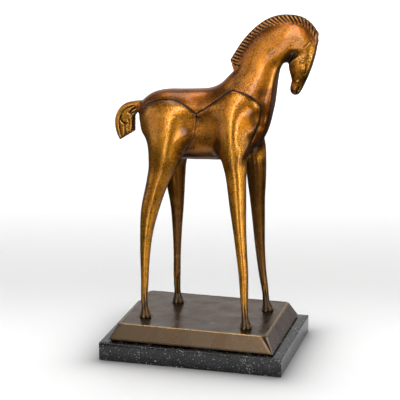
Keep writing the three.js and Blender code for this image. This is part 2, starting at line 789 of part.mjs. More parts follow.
// The notches of the mane, closer together low on the neck than near the ears.
const notch = { count: 27, width: 2.2, depth: 1.7, lean: 38, rim: 1.2, length: 8.6, lengthAtEars: 5 };
function maneNotches() {
  const places = [...Array(notch.count).keys()].map((i) => {
    const share = (i + 0.6) / notch.count;
    return share * (0.86 + 0.14 * share);
  });
  const lean = (notch.lean * Math.PI) / 180;
  return pointsAlong(maneCrest, places).flatMap(({ x, z, ahead }, i) => {
    const inward = [ahead[1], -ahead[0]];
    const direction = [0, 1].map((k) => inward[k] * Math.cos(lean) + ahead[k] * Math.sin(lean));
    const length = notch.length + (notch.lengthAtEars - notch.length) * ramp(places[i], 0.6, 1);
    const stations = [0, 0.5, 1].map((share) => {
      const run = (notch.rim + share * length) / Math.cos(lean);
      return [x + direction[0] * run, z + direction[1] * run, notch.depth * [0.8, 1, 0.35][2 * share]];
    });
    if (stations.some(([sx, sz]) => !skinAt(sx, sz, 1))) return [];
    return [-1, 1].map((side) => furrow(stations, side, notch.width));
  });
}

// Smaller lines cut on both sides: [x, z, depth] along each, and its width.
const eye = [[108, 321, 0.4], [108.5, 315.6, 1], [107.9, 312.1, 1], [106.8, 310.3, 0.4]];
const mouth = [[100.2, 295.2, 0.4], [98.4, 291.4, 1.3], [97.5, 288, 1.3]];
const tailBand = [[-77, 267.5, 0.5], [-84, 264.6, 1], [-90.6, 258.6, 1.2], [-94, 250, 1.2], [-93.6, 239, 1]];
const tailScroll = [[-92.2, 252, 0.5], [-89.8, 248, 1.2], [-87, 246.6, 1.2], [-84.5, 248.3, 0.5]];
const tailStrand = [[-88, 244.6, 0.6], [-88.2, 240, 1.1], [-87.4, 235.6, 0.7]];
const tailRoot = [[-84.3, 259, 0.5], [-79.8, 262.6, 1.3], [-76, 264.8, 0.6]];
function smallCuts() {
  const narrow = [eye, mouth, tailStrand];
  const wide = [tailBand, tailScroll, tailRoot];
  return [-1, 1].flatMap((side) => [
    ...narrow.map((stations) => furrow(stations, side, 1.6)),
    ...wide.map((stations) => furrow(stations, side, 1.9)),
  ]);
}

// The finished pieces.
const kernel = await Module();
kernel.setup();
const { Manifold, Mesh } = kernel;

function toManifold({ positions, triangles }) {
  const mesh = new Mesh({
    numProp: 3,
    vertProperties: new Float32Array(positions.flat()),
    triVerts: new Uint32Array(triangles.flat()),
  });
  mesh.merge();
  return new Manifold(mesh);
}

function toGeometry(solid) {
  const mesh = solid.getMesh();
  const geometry = new THREE.BufferGeometry();
  geometry.setAttribute("position", new THREE.BufferAttribute(new Float32Array(mesh.vertProperties), 3));
  geometry.setIndex(Array.from(mesh.triVerts));
  const flat = geometry.toNonIndexed();
  flat.computeVertexNormals();
  return flat;
}

// A closed block from level outlines that all have the same number of corners, anticlockwise from above.
function stacked(levels) {
  const sides = levels[0].outline.length;
  const positions = levels.flatMap(({ z, outline }) => outline.map(([x, y]) => [x, y, z]));
  const triangles = [];
  for (let level = 0; level < levels.length - 1; level++)
    for (let i = 0; i < sides; i++) {
      const [a, b] = [level * sides + i, level * sides + ((i + 1) % sides)];
      triangles.push([a, b, b + sides], [a, b + sides, a + sides]);
    }
  const top = (levels.length - 1) * sides;
  for (let i = 1; i < sides - 1; i++) triangles.push([0, i + 1, i], [top, top + i, top + i + 1]);
  return { positions, triangles };
}

// A rectangle with rounded corners; radii start at the front right corner and go round anticlockwise.
const cornerSteps = 4;
function roundedRectangle(length, width, radii, shift = 0) {
  return radii.flatMap((radius, corner) => {
    const signX = corner === 0 || corner === 1 ? 1 : -1;
    const signY = corner === 1 || corner === 2 ? 1 : -1;
    return [...Array(cornerSteps + 1).keys()].map((step) => {
      const turn = ((corner - 1 + step / cornerSteps) * Math.PI) / 2;
      return [
        shift + signX * (length / 2 - radius) + radius * Math.cos(turn),
        signY * (width / 2 - radius) + radius * Math.sin(turn),
      ];
    });
  });
}

function plinthSolid() {
  const { length, width, height, arris } = plinth;
  const outline = (inset) => roundedRectangle(length - 2 * inset, width - 2 * inset, Array(4).fill(arris));
  return stacked([
    { z: 0, outline: outline(arris) },
    { z: arris, outline: outline(0) },
    { z: height - arris, outline: outline(0) },
    { z: height, outline: outline(arris) },
  ]);
}

// The base is cast with straight sloping sides. Two of its corners are rubbed round at the top.
const topCorners = [6, 2, 5, 2];
function baseSolid() {
  const { length, width, height, slopeX, slopeY, footHeight, footInset, shift, edge } = base;
  const level = (share, inset, z) => {
    const radii = topCorners.map((radius) => 0.6 + radius * share);
    const [long, wide] = [length - 2 * (slopeX * share + inset), width - 2 * (slopeY * share + inset)];
    return { z: baseUnderside + z, outline: roundedRectangle(long, wide, radii, shift) };
  };
  const slopeAt = (z) => (z - footHeight - edge) / (height - footHeight - edge);
  return stacked([
    level(0, footInset, 0),
    level(0, footInset, footHeight),
    level(0, 0.3, footHeight),
    level(0, 0, footHeight + 0.4),
    level(slopeAt(height - edge), 0, height - edge),
    level(slopeAt(height - 0.3 * edge), 0.15 * edge, height - 0.3 * edge),
    level(1, 0.7 * edge, height),
  ]);
}

function horseSolid() {
  const low = [-108, -52, hoofLevel - spare - 2.5];
  const high = [128, 46, 378];
  const skin = simplified(polygonise(carvedField, low, high, cellSize), horseTriangles);
  const ground = roundedRectangle(300, 200, Array(4).fill(1));
  const belowHooves = stacked([hoofLevel - 20, hoofLevel].map((z) => ({ z, outline: ground })));
  const cuts = [belowHooves, ...maneNotches(), ...smallCuts()];
  return toManifold(skin).subtract(Manifold.union(cuts.map(toManifold)));
}

const group = new THREE.Group();
group.name = "bronze_horse";
function addPiece(name, solid, color, metalness, roughness) {
  const material = new THREE.MeshStandardMaterial({ color, metalness, roughness });
  const mesh = new THREE.Mesh(toGeometry(solid), material);
  mesh.name = name;
  group.add(mesh);
}
addPiece("marble_plinth", toManifold(plinthSolid()), 0x1b1c1e, 0, 0.15);
addPiece("bronze_base", toManifold(baseSolid()), 0x3a2f27, 0.8, 0.4);
addPiece("horse", horseSolid(), 0xa8752f, 0.9, 0.35);

export default group;
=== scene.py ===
# %% [markdown]
# # A bronze foal with a bowed head
#
# The object is a small sculpture in three pieces: a long-legged foal cast in bronze, the low
# bronze base with sloping sides that it stands on, and a polished black marble plinth below.
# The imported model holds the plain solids. This lesson makes the fine surface around them:
# the carving, the patina, the worn edges and the stone, and then a small studio.

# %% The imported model
import math

import bpy
import bmesh
import numpy as np
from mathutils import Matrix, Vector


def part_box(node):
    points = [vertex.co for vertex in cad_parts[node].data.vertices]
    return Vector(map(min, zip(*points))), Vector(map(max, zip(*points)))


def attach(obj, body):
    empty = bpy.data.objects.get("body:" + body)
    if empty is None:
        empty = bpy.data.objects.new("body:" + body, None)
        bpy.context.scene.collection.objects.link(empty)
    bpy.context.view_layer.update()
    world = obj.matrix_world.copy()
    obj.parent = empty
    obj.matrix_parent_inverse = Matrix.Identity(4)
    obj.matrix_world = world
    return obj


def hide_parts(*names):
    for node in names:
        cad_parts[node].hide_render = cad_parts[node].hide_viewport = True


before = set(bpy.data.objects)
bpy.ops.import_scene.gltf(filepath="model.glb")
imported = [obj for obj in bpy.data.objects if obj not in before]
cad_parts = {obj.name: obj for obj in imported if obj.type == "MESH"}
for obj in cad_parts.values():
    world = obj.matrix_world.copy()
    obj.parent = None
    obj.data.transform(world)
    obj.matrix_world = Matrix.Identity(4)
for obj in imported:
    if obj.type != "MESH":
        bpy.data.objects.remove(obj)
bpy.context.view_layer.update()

import openvdb
from mathutils import Vector, noise

MM = 0.001
plinth_low, plinth_high = [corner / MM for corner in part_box("marble_plinth")]
base_low, base_high = [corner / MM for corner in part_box("bronze_base")]
horse_low, horse_high = [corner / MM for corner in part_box("horse")]
tops = [round(corner.z, 1) for corner in (plinth_high, base_high, horse_high)]
print("plinth, base and horse end at", tops, "mm")

# %% [markdown]
# ## A block of air to carve in
#
# A smooth animal could be modelled with subdivision surfaces, with sculpt brushes, or as a
# field: a number for each point of space that is below zero inside the metal. A field suits a
# figure whose haunches, neck and legs run into each other, because two masses join with a
# fillet by one line of arithmetic. The numbers live on a grid in millimetres, and y is measured
# from the horse's own middle plane.

# %% The grid
CELL = 0.8
MIDDLE_Y = -3.0
FAR = 40.0
grid_low = np.array([-104.0, -49.0, 34.0])
grid_high = np.array([124.0, 41.0, 376.0])
axes = [np.arange(low, high, CELL, dtype=np.float32) for low, high in zip(grid_low, grid_high)]
X = axes[0][:, None, None]
Y = axes[1][None, :, None]
Z = axes[2][None, None, :]
ASIDE = np.abs(Y)
print("grid of", [len(axis) for axis in axes], "points")


def block(low, high):
    """The slices of the grid between two corners."""
    return tuple(
        slice(*np.clip(np.searchsorted(axis, [a, b]), 0, len(axis)))
        for axis, a, b in zip(axes, low, high)
    )


# %% Joining, trimming and easing
def joined(a, b, fillet):
    overlap = np.maximum(fillet - np.abs(a - b), 0) / fillet
    return np.minimum(a, b) - overlap * overlap * (fillet / 4)


def trimmed(a, b, rounding):
    return -joined(-a, -b, rounding)


def ramp(value, start, end):
    """From 0 to 1 between two values, eased at both ends."""
    share = np.clip((value - start) / (end - start), 0, 1)
    return share * share * (3 - 2 * share)


def bell(a):
    """From 1 at zero down to 0 at one and beyond."""
    return np.clip(1 - a * a, 0, 1) ** 2


def smooth_path(points, steps):
    """A Catmull-Rom path through a few points of any dimension."""
    p = np.array(points, float)
    p = np.vstack([p[:1], p, p[-1:]])
    t = np.linspace(0, 1, steps, endpoint=False)[:, None]
    spans = []
    for a, b, c, d in zip(p, p[1:], p[2:], p[3:]):
        spans.append(b + t / 2 * (c - a + t * (2 * a - 5 * b + 4 * c - d + t * (3 * (b - c) + d - a))))
    return np.vstack(spans + [p[-1:]])


def blurred(field, reach):
    """A Gaussian blur of the grid over that many millimetres."""
    count = max(1, round(2.5 * reach / CELL))
    steps = np.arange(-count, count + 1)
    weights = np.exp(-0.5 * (steps * CELL / reach) ** 2)
    weights /= weights.sum()
    for axis in range(3):
        padding = [(count, count) if n == axis else (0, 0) for n in range(3)]
        padded = np.pad(field, padding, mode="edge")
        field = np.zeros_like(field)
        for step, weight in zip(steps, weights):
            window = [slice(None)] * 3
            window[axis] = slice(count + step, count + step + field.shape[axis])
            field += np.float32(weight) * padded[tuple(window)]
    return field


# %% [markdown]
# ## The masses of the horse
#
# Under its carving the foal is a handful of masses: trunk, neck, head and four long legs. Balls
# could be stretched to fit, but a run of oval rings follows a bend with few numbers. A ring
# gives its centre, its half depth in the side view and its half width across. Between two rings
# lies a cone, a smooth path through the rings cuts it into short ones, and a light blur takes
# out the last facets, as a sculptor's thumb does in wax.

# %% From rings to a mass
STEPS_BETWEEN_RINGS = 4
BOXY = 1.15
MARGIN = 7.0
THUMB = 1.3


def mass(rings, square=2.0):
    """The block that a run of rings needs, and the distance to its surface there."""
    path = smooth_path(rings, STEPS_BETWEEN_RINGS)
    centres, deep, wide = path[:, :3], path[:, 3], path[:, 4]
    reach = BOXY * np.maximum(deep, wide) + MARGIN
    place = block(centres.min(0) - reach.max(), centres.max(0) + reach.max())
    offsets = [part.start for part in place]
    field = np.full([part.stop - part.start for part in place], FAR, np.float32)
    for i in range(len(path) - 1):
        start, end = centres[i], centres[i + 1]
        length = np.linalg.norm(end - start)
        axis = (end - start) / length
        across = np.array([0, 1, 0]) - axis[1] * axis
        across /= np.linalg.norm(across)
        around = max(reach[i], reach[i + 1])
        near = block(np.minimum(start, end) - around, np.maximum(start, end) + around)
        px, py, pz = X[near[0]] - start[0], Y[:, near[1]] - start[1], Z[:, :, near[2]] - start[2]
        run = np.clip(px * axis[0] + py * axis[1] + pz * axis[2], 0, length)
        dx, dy, dz = px - run * axis[0], py - run * axis[1], pz - run * axis[2]
        away = np.sqrt(dx * dx + dy * dy + dz * dz) + 1e-4
        share = run / length
        sideways = np.abs(dx * across[0] + dy * across[1] + dz * across[2])
        in_plane = np.sqrt(np.maximum(away * away - sideways * sideways, 0))
        deep_here = deep[i] + (deep[i + 1] - deep[i]) * share
        wide_here = wide[i] + (wide[i + 1] - wide[i]) * share
        ratio = ((in_plane / deep_here) ** square + (sideways / wide_here) ** square) ** (1 / square)
        inner = tuple(slice(part.start - o, part.stop - o) for part, o in zip(near, offsets))
        field[inner] = np.minimum(field[inner], away - away / ratio)
    return place, blurred(field, THUMB)


def join_in(body, piece, fillet):
    place, field = piece
    body[place] = joined(body[place], field, fillet)


# %% Trunk, neck and head
TRUNK = [
    (-50, 0, 262.5, 21.5, 19),
    (-39, 0, 254, 32.5, 24.5),
    (-20, 0, 250, 37.5, 27),
    (0, 0, 250.5, 38.3, 27.5),
    (19, 0, 252.5, 38.5, 27),
    (32, 0, 257.5, 35, 24),
]
NECK = [
    (37, 0, 263, 36, 24),
    (47, 0, 282, 31, 21),
    (56.5, 0, 301, 25.5, 17.5),
    (61.5, 0, 319.5, 23.5, 15),
    (70, 0, 332.5, 23.5, 14),
    (81, 0, 341, 22.5, 13.5),
    (92.5, 0, 346, 19.5, 12.5),
    (103, 0, 349, 13.5, 11.5),
    (109, 0, 346, 10.5, 10.5),
]
HEAD = [
    (105, 0, 341, 13.5, 11),
    (103.3, 0, 329, 14, 11.5),
    (102, 0, 318, 13, 10.5),
    (101, 0, 308.5, 9.8, 8),
    (99.8, 0, 301.5, 7.5, 6.4),
    (98, 0, 296, 7, 5.8),
    (96.4, 0, 292.4, 5.8, 5.2),
]
trunk, neck, head = mass(TRUNK, 2.2), mass(NECK, 2.3), mass(HEAD, 2.8)

# %% Legs
HOOF = horse_low.z
FEET = {
    "right hind": (-59.8, -28, 1.4),
    "left hind": (-38.8, 28, 1.2),
    "right fore": (54, -36, 1.8),
    "left fore": (63.5, 27, 3.0),
}
LEGS = {
    "right hind": [
        (-35, -12, 254, 19, 15),
        (-36, -15, 240, 19, 16),
        (-38, -18, 224, 17.8, 15),
        (-42.4, -20.5, 206, 14.3, 12.6),
        (-48.5, -22, 185, 11.4, 10.6),
        (-55.5, -23.5, 158, 9.6, 8.8),
        (-59.1, -25, 131, 6.9, 6.8),
        (-60.5, -26, 104, 5.3, 5.3),
        (-60.9, -26.5, 80, 4.4, 4.4),
    ],
    "left hind": [
        (-35, 12, 254, 19, 15),
        (-36, 15, 240, 19, 16),
        (-38, 18, 224, 17.8, 15),
        (-41, 20, 206, 14.5, 12.8),
        (-39.8, 21.5, 183, 11, 10.6),
        (-38.4, 23.5, 154, 7.5, 8),
        (-38.9, 25.5, 126, 5.4, 5.8),
        (-39.5, 27, 98, 4.3, 4.4),
        (-39.9, 27.5, 75, 4.2, 4.2),
    ],
    "right fore": [
        (38, -10, 266, 17, 13),
        (38.5, -14, 252, 18.5, 15),
        (37.4, -18.5, 236, 16.4, 14),
        (37, -21.5, 220, 13.5, 12.2),
        (39.6, -24.5, 198, 10.8, 10.2),
        (42.1, -27.5, 172, 9.1, 8.8),
        (44.8, -30, 146, 7.2, 7.2),
        (47.6, -32, 121, 6.1, 6),
        (50.3, -33.5, 95, 5.3, 5.3),
    ],
    "left fore": [
        (39, 10, 266, 17, 13),
        (41, 14, 252, 18, 15),
        (45, 18.5, 236, 15, 14),
        (49, 21, 220, 12, 12.2),
        (50.4, 23, 193, 10.6, 10.2),
        (51.4, 24.5, 166, 8.3, 8.4),
        (52.8, 25.5, 140, 6.9, 6.8),
        (54.4, 26, 112, 5.6, 5.5),
        (57, 26.5, 85, 4.6, 4.5),
    ],
}


def lower_leg(x, y, lean):
    """The rings of a cannon and a foot that flares on the base."""
    return [
        (x - lean, y, HOOF + 22, 4.1, 4.2),
        (x - 0.7 * lean, y, HOOF + 12, 4.0, 4.2),
        (x - 0.3 * lean, y, HOOF + 6, 4.9, 5.0),
        (x, y, HOOF + 1.5, 6.2, 6.2),
        (x, y, HOOF - 4, 6.4, 6.4),
    ]


legs = {name: mass(rings + lower_leg(*FEET[name])) for name, rings in LEGS.items()}
print("the legs have", [len(rings) for rings in LEGS.values()], "rings above the cannon")

# %% [markdown]
# ## Lines of the side view
#
# The sculptor cut this horse as if from a side view: the front of the neck is one clean plane,
# the mane and tail are thick plates, and grooves run round haunch and shoulder. Curves in space
# would need their depth told at every point. Here each is a line of a few points in the side
# view, whose distance is worked out once for the flat picture of x and z, and which then holds
# for the whole width of the grid.

# %% Distances to a line
side_x, side_z = np.meshgrid(axes[0].astype(float), axes[2].astype(float), indexing="ij")


def nearest_on(path):
    """For each point of the side view: distance to the path, share of its length, side."""
    squared = np.full(side_x.shape, np.inf)
    share_there = np.zeros(side_x.shape)
    side = np.ones(side_x.shape)
    lengths = np.r_[0, np.cumsum(np.linalg.norm(np.diff(path, axis=0), axis=1))]
    for i, (a, b) in enumerate(zip(path, path[1:])):
        run = b - a
        if not run.any():
            continue
        px, pz = side_x - a[0], side_z - a[1]
        share = np.clip((px * run[0] + pz * run[1]) / (run @ run), 0, 1)
        here = (px - run[0] * share) ** 2 + (pz - run[1] * share) ** 2
        nearer = here < squared
        squared[nearer] = here[nearer]
        share_there[nearer] = (lengths[i] + share * (lengths[i + 1] - lengths[i]))[nearer]
        side[nearer] = np.where(run[0] * pz - run[1] * px < 0, -1, 1)[nearer]
    return np.sqrt(squared), share_there / lengths[-1], side


def outside(outline):
    """The distance outside a closed outline, negative inside."""
    inside = np.zeros(side_x.shape, bool)
    for (ax, az), (bx, bz) in zip(outline, outline[1:]):
        if az != bz:
            crosses = (az > side_z) != (bz > side_z)
            inside ^= crosses & (side_x < ax + (side_z - az) / (bz - az) * (bx - ax))
    return np.where(inside, -1, 1) * nearest_on(outline)[0]


def through(chart):
    """A chart of the side view, held the same through the whole width."""
    return chart.astype(np.float32)[:, None, :]


def side_line(*points):
    return smooth_path(points, 6)


# %% The lines themselves
neck_front = side_line(
    (30, 208), (43, 218), (54, 230), (62.5, 243), (68.5, 257), (72.6, 272), (74.4, 288),
    (76.4, 304), (78.8, 313), (83, 319), (89, 321), (101, 323), (135, 333),
)
face_front = side_line((121, 364), (119.2, 350), (116.2, 331), (111.5, 314), (105.5, 298), (98, 283))
mane_crest = side_line(
    (26.5, 320.5), (39.4, 341), (52, 355), (65, 364.7), (78, 369.4), (91, 370.3), (103, 368),
    (112.5, 361.5), (120, 351.5),
)
mane_foot = side_line(
    (117, 346), (104, 356), (90, 360), (74, 358), (60, 349), (48, 335), (39, 319), (33.5, 307.5)
)
tail_back = side_line(
    (-68, 272.5), (-79, 271), (-88, 268.5), (-94.6, 263), (-99, 254), (-99.6, 244), (-97.5, 235),
    (-94.3, 228.5),
)
haunch_edge = side_line(
    (-72, 236), (-69, 254), (-63.5, 266.5), (-60, 271.5), (-50.5, 275.8), (-39, 278.2), (-29, 277.9),
    (-20, 275.3), (-12.3, 271.4), (-4.6, 265),
)
flank_fold = side_line((-4.6, 265), (-4.9, 257), (-5.6, 248.5), (-8, 240), (-12, 231.5), (-19, 223))
shoulder_edge = side_line(
    (-4.6, 265), (5, 271.8), (18.4, 282), (29.5, 289.8), (35, 291.4), (44, 289.8), (54, 286), (60.5, 280),
    (63.5, 273), (62.5, 263), (58.5, 250), (54.5, 240), (49, 222),
)
jaw_valley = side_line((88.5, 320.5), (91.5, 324), (96.5, 328.2), (102, 331.6), (108, 337))

mane_outline = np.vstack([mane_crest, mane_foot, mane_crest[:1]])
tail_front = [(-78.6, 238.5), (-78.4, 255), (-74.5, 260), (-66, 258)]
tail_outline = np.vstack([tail_back, tail_front, tail_back[:1]])
haunch_outline = np.vstack([haunch_edge, flank_fold, [(-27, 196), (-72, 196)], haunch_edge[:1]])
shoulder_outline = np.vstack([shoulder_edge, [(46, 196), (-27, 196)], flank_fold[::-1]])
print("the crest of the mane ends at", mane_crest[-1].tolist())

# %% [markdown]
# ## Putting the figure together
#
# The wax of such a horse is pressed together from its masses and then shaped with a knife and
# a thumb. A Boolean union would leave a hard crease at every seam, so the fields are joined with
# fillets, wide at the shoulders and narrow at the cheek. Neck and head are trimmed flat in
# front, and the mane and the tail are plates with a rounded rim. Flank and chest are drawn in,
# haunch and shoulder swell out from their grooves, and a wide blur softens the body between.

# %% Neck, trunk and legs
BODY_FILLET = 9
NECK_ROUNDING = 1.6
body = np.full([len(axis) for axis in axes], FAR, np.float32)
distance, _, side = nearest_on(neck_front)
place, field = neck
in_front = through(-side * distance)[place[0], :, place[2]]
join_in(body, (place, trimmed(field, in_front, NECK_ROUNDING)), BODY_FILLET)
join_in(body, trunk, BODY_FILLET)

for pair in ("fore", "hind"):
    both = np.full(body.shape, FAR, np.float32)
    for name in ("right " + pair, "left " + pair):
        place, field = legs[name]
        both[place] = np.minimum(both[place], field)
    body = joined(body, both, BODY_FILLET)
print(int((body < 0).sum()), "points of the grid are metal")


# %% Narrow flank and chest
def narrowing(x, half_length, share, foot, top):
    """What share of its width the body loses round x, between a foot and a top."""
    across = bell((side_x - x) / half_length)
    return share * across * ramp(side_z, *foot) * (1 - ramp(side_z, *top))


flank_loss = narrowing(x=1, half_length=33, share=0.27, foot=(196, 212), top=(256, 278))
chest_loss = narrowing(x=57, half_length=20, share=0.25, foot=(222, 245), top=(262, 284))
width = 1 - flank_loss - chest_loss
row = (Y / through(width) - axes[1][0]) / CELL
row = np.clip(row, 0, len(axes[1]) - 1.001)
low_row = row.astype(np.int32)
inner, outer = (np.take_along_axis(body, rows, axis=1) for rows in (low_row, low_row + 1))
body = inner + (row - low_row).astype(np.float32) * (outer - inner)
print("the flank keeps", round(float(width.min()), 2), "of its width")

# %% Head, mane and tail
FACE_ROUNDING = 1.4
CHEEK_FILLET = 3
distance, _, side = nearest_on(face_front)
place, field = head
in_front = through(side * distance)[place[0], :, place[2]]
join_in(body, (place, trimmed(field, in_front, FACE_ROUNDING)), CHEEK_FILLET)


def add_plate(low, high, outline, half, rounding, fillet):
    """Joins in a plate that has a side outline and lies between two corners of the grid."""
    place = block(low, high)
    plate = trimmed(through(outside(outline)), ASIDE - half, rounding)
    join_in(body, (place, plate[place]), fillet)


MANE_RIM_HALF = 2.2
MANE_SPREAD = 0.55
MANE_DEPTH = 11
TAIL_HALF = 6.3
crest_away = nearest_on(mane_crest)[0]
mane_half = through(MANE_RIM_HALF + MANE_SPREAD * np.minimum(crest_away, MANE_DEPTH))
add_plate((20, -20, 300), (124, 20, 376), mane_outline, mane_half, rounding=1, fillet=2)
add_plate((-104, -14, 222), (-60, 14, 280), tail_outline, TAIL_HALF, rounding=4, fillet=3)
print(int((body < 0).sum()), "points are metal with head, mane and tail")

# %% Swelling haunch and shoulder
SWELL_HEIGHT = 4.5
SWELL_REACH = 20.0
SWELL_FULLNESS = 0.7


def swelling(outline):
    inward = np.clip(-outside(outline) / SWELL_REACH, 0, 1)
    return SWELL_HEIGHT * (1 - (1 - inward) ** 2) ** SWELL_FULLNESS


swell = through(swelling(haunch_outline) + swelling(shoulder_outline))
body -= swell * ramp(ASIDE, 5, 15) * ramp(Z, 200, 240)

# %% Softening by hand
SOFTENING = 5.0
haunch_away, shoulder_away, fold_away = [
    nearest_on(line)[0] for line in (haunch_edge, shoulder_edge, flank_fold)
]
nearest_seam = np.minimum(haunch_away, shoulder_away)
nearest_edge = np.minimum(nearest_seam, fold_away)
soft_part = ramp(nearest_seam, 2, 10) * (0.6 + 0.4 * ramp(fold_away, 1, 8))
soft_part *= ramp(side_z, 205, 235) * ramp(side_z, 295, 278)
soft_part *= ramp(side_x, -74, -66) * ramp(side_x, 62, 54)
flanks = block((-90, -49, 200), (66, 41, 300))
softened = blurred(body[flanks], SOFTENING)
body[flanks] += (softened - body[flanks]) * through(soft_part)[flanks[0], :, flanks[2]]
print("haunch and shoulder stand out by", SWELL_HEIGHT, "mm")

# %% The hollow under the cheek
NECK_SIDE_REACH = 8.5
HEAD_SIDE_REACH = 2.6
HOLLOW_DEPTH = 2.4
HOLLOW_SHADE = 0.5
distance, share, side = nearest_on(jaw_valley)
reach = np.where(side > 0, NECK_SIDE_REACH, HEAD_SIDE_REACH)
depth = HOLLOW_DEPTH * (1 - ramp(share, 0.35, 1.0)) * bell(distance / reach)
body += through(depth) * ramp(ASIDE, 2, 7)
print("hollow under the cheek", round(float(depth.max()), 2), "mm deep")
throat_shade = HOLLOW_SHADE * (1 - ramp(share, 0.45, 1.0)) * np.clip(1 - distance / (0.6 * reach), 0, 1)

# %% [markdown]
# ## Carving
#
# The real grooves are soft channels, and the metal beside them is pushed up into a thin lip. A
# bump in the material would give them no outline and no shadow, so they are cut into the field:
# a groove is a depth that depends on the distance from its line. A chart of the side view holds
# the depths of its lines, and beside them the grime, which later tells the patina where dark
# wax has stayed.

# %% Grooves
def new_chart():
    return {"depth": np.zeros(side_x.shape), "grime": np.zeros(side_x.shape)}


def cut(chart, path, half_width, depth, lip=0.0, grime=1.0, fade=(0.08, 0.92)):
    """Cuts one line, shallower at its two ends. A negative depth raises it."""
    distance, share, _ = nearest_on(np.array(path, float))
    strength = ramp(share, 0, fade[0]) * ramp(share, 1, fade[1])
    a = distance / half_width
    chart["depth"] += strength * (depth * bell(a) - lip * bell((a - 1.5) / 0.8))
    chart["grime"] = np.maximum(chart["grime"], grime * strength * bell(a / 1.15))


def carve(chart, half_width, depth, *points, **marks):
    """Cuts a smooth line through a few points."""
    cut(chart, side_line(*points), half_width, depth, **marks)


def oval(x, z, long, short, turn):
    """From 1 in the middle of a turned oval down to 0 at its rim."""
    c, s = math.cos(math.radians(turn)), math.sin(math.radians(turn))
    dx, dz = side_x - x, side_z - z
    return bell(np.hypot((dx * c + dz * s) / long, (dz * c - dx * s) / short))


edges = new_chart()
cut(edges, haunch_edge, 0.85, 0.55, lip=0.10, grime=0.5, fade=(0.55, 0.999))
cut(edges, shoulder_edge, 0.85, 0.55, lip=0.12, grime=0.5, fade=(0.001, 0.72))
cut(edges, flank_fold, 0.8, 0.25, lip=0.15, grime=0.1, fade=(0.02, 0.6))
edges["depth"] -= 0.5 * oval(-4.6, 266.5, 2.6, 2.2, 0)

# %% The strands of the mane
mane = new_chart()
STRANDS = 33
FIRST_STRAND = 3
SLOT_HALF_WIDTH = 0.8
SLOT_DEPTH = 1.5
SLOT_LENGTH = 9.6
SHORTER_AT_EARS = 4.0
SHORTER_AT_FOOT = 2.5
RIM = 0.9
LOWEST_SLANT = math.radians(-8)
strand_line = np.vstack([side_line((36, 308), (30, 313.5), (26.5, 320.5))[:-1], mane_crest])


def along(path, share):
    """The point at that share of a path's length, and the direction there."""
    lengths = np.r_[0, np.cumsum(np.linalg.norm(np.diff(path, axis=0), axis=1))]
    i = min(np.searchsorted(lengths, share * lengths[-1], side="right"), len(path) - 1)
    run = path[i] - path[i - 1]
    part = (share * lengths[-1] - lengths[i - 1]) / (lengths[i] - lengths[i - 1])
    return path[i - 1] + part * run, run / np.linalg.norm(run)


for strand in range(FIRST_STRAND, STRANDS):
    share = (strand + 0.7) / STRANDS
    share *= 0.8 + 0.2 * share
    point, ahead = along(strand_line, share)
    inward = math.atan2(-ahead[0], ahead[1])
    lean = math.radians(18 + 36 * share)
    turn = min(inward + lean, LOWEST_SLANT)
    uneven = 1.0 + 0.10 * math.sin(2.4 * strand) + 0.06 * math.sin(5.1 * strand)
    shorter = SHORTER_AT_EARS * float(ramp(share, 0.72, 1)) + SHORTER_AT_FOOT * float(ramp(share, 0.15, 0))
    length = (SLOT_LENGTH - shorter) * uneven
    rim = RIM / max(0.4, math.cos(turn - inward))
    direction = np.array([math.cos(turn), math.sin(turn)])
    slot = point + np.outer([rim, rim + length], direction)
    distance, part, _ = nearest_on(slot)
    a = distance / (SLOT_HALF_WIDTH * (1 - 0.4 * part))
    trench = np.clip(1.5 * (1 - a * a), 0, 1) * (1 - 0.55 * part * part)
    mane["depth"] = np.maximum(mane["depth"], SLOT_DEPTH * trench)
    mane["grime"] = np.maximum(mane["grime"], 0.8 * trench)
print(STRANDS - FIRST_STRAND, "slots, deepest", round(float(mane["depth"].max()), 2), "mm")

# %% The locks of the tail
tail = new_chart()
carve(tail, 0.9, 1.0, (-75, 268), (-81.8, 265.8), (-87.4, 262.5), (-91.4, 257.9), (-93.8, 252),
      (-94.3, 246), (-93.4, 239), (-91.5, 231.5), lip=0.12, grime=0.85)
carve(tail, 0.9, 0.9, (-90.6, 256.5), (-92.6, 251.8), (-89.8, 248.1), (-87, 246.9), (-84.2, 248.5), lip=0.2)
carve(tail, 0.8, 0.9, (-87, 246.9), (-88.1, 243.9), (-88, 240), (-87.4, 234.5), lip=0.15)
carve(tail, 1.2, 1.5, (-84.2, 259), (-81.8, 259.6), (-79.7, 262.8), (-75.2, 265.2), lip=0.2)
carve(tail, 1.0, 1.2, (-81, 256.5), (-79.5, 259), (-75.5, 260.6))
carve(tail, 1.0, 0.6, (-84.6, 252.5), (-82.6, 249), (-83, 244.5), (-84.6, 240), grime=0.5)
for step in range(5):
    foot = np.array([-91.5 + 2.6 * step, 231.2 + 1.75 * step])
    cut(tail, [foot, foot + (0.5, 3.6)], 0.7, 0.8, grime=0.8, fade=(0.1, 0.6))
for step in range(6):
    foot = np.array([-79.0, 240.5 + 2.9 * step])
    cut(tail, [foot, foot + (-1.8, 0.9)], 0.7, 0.7, grime=0.8, fade=(0.1, 0.6))
print("tail cut", round(float(tail["depth"].max()), 2), "mm deep")

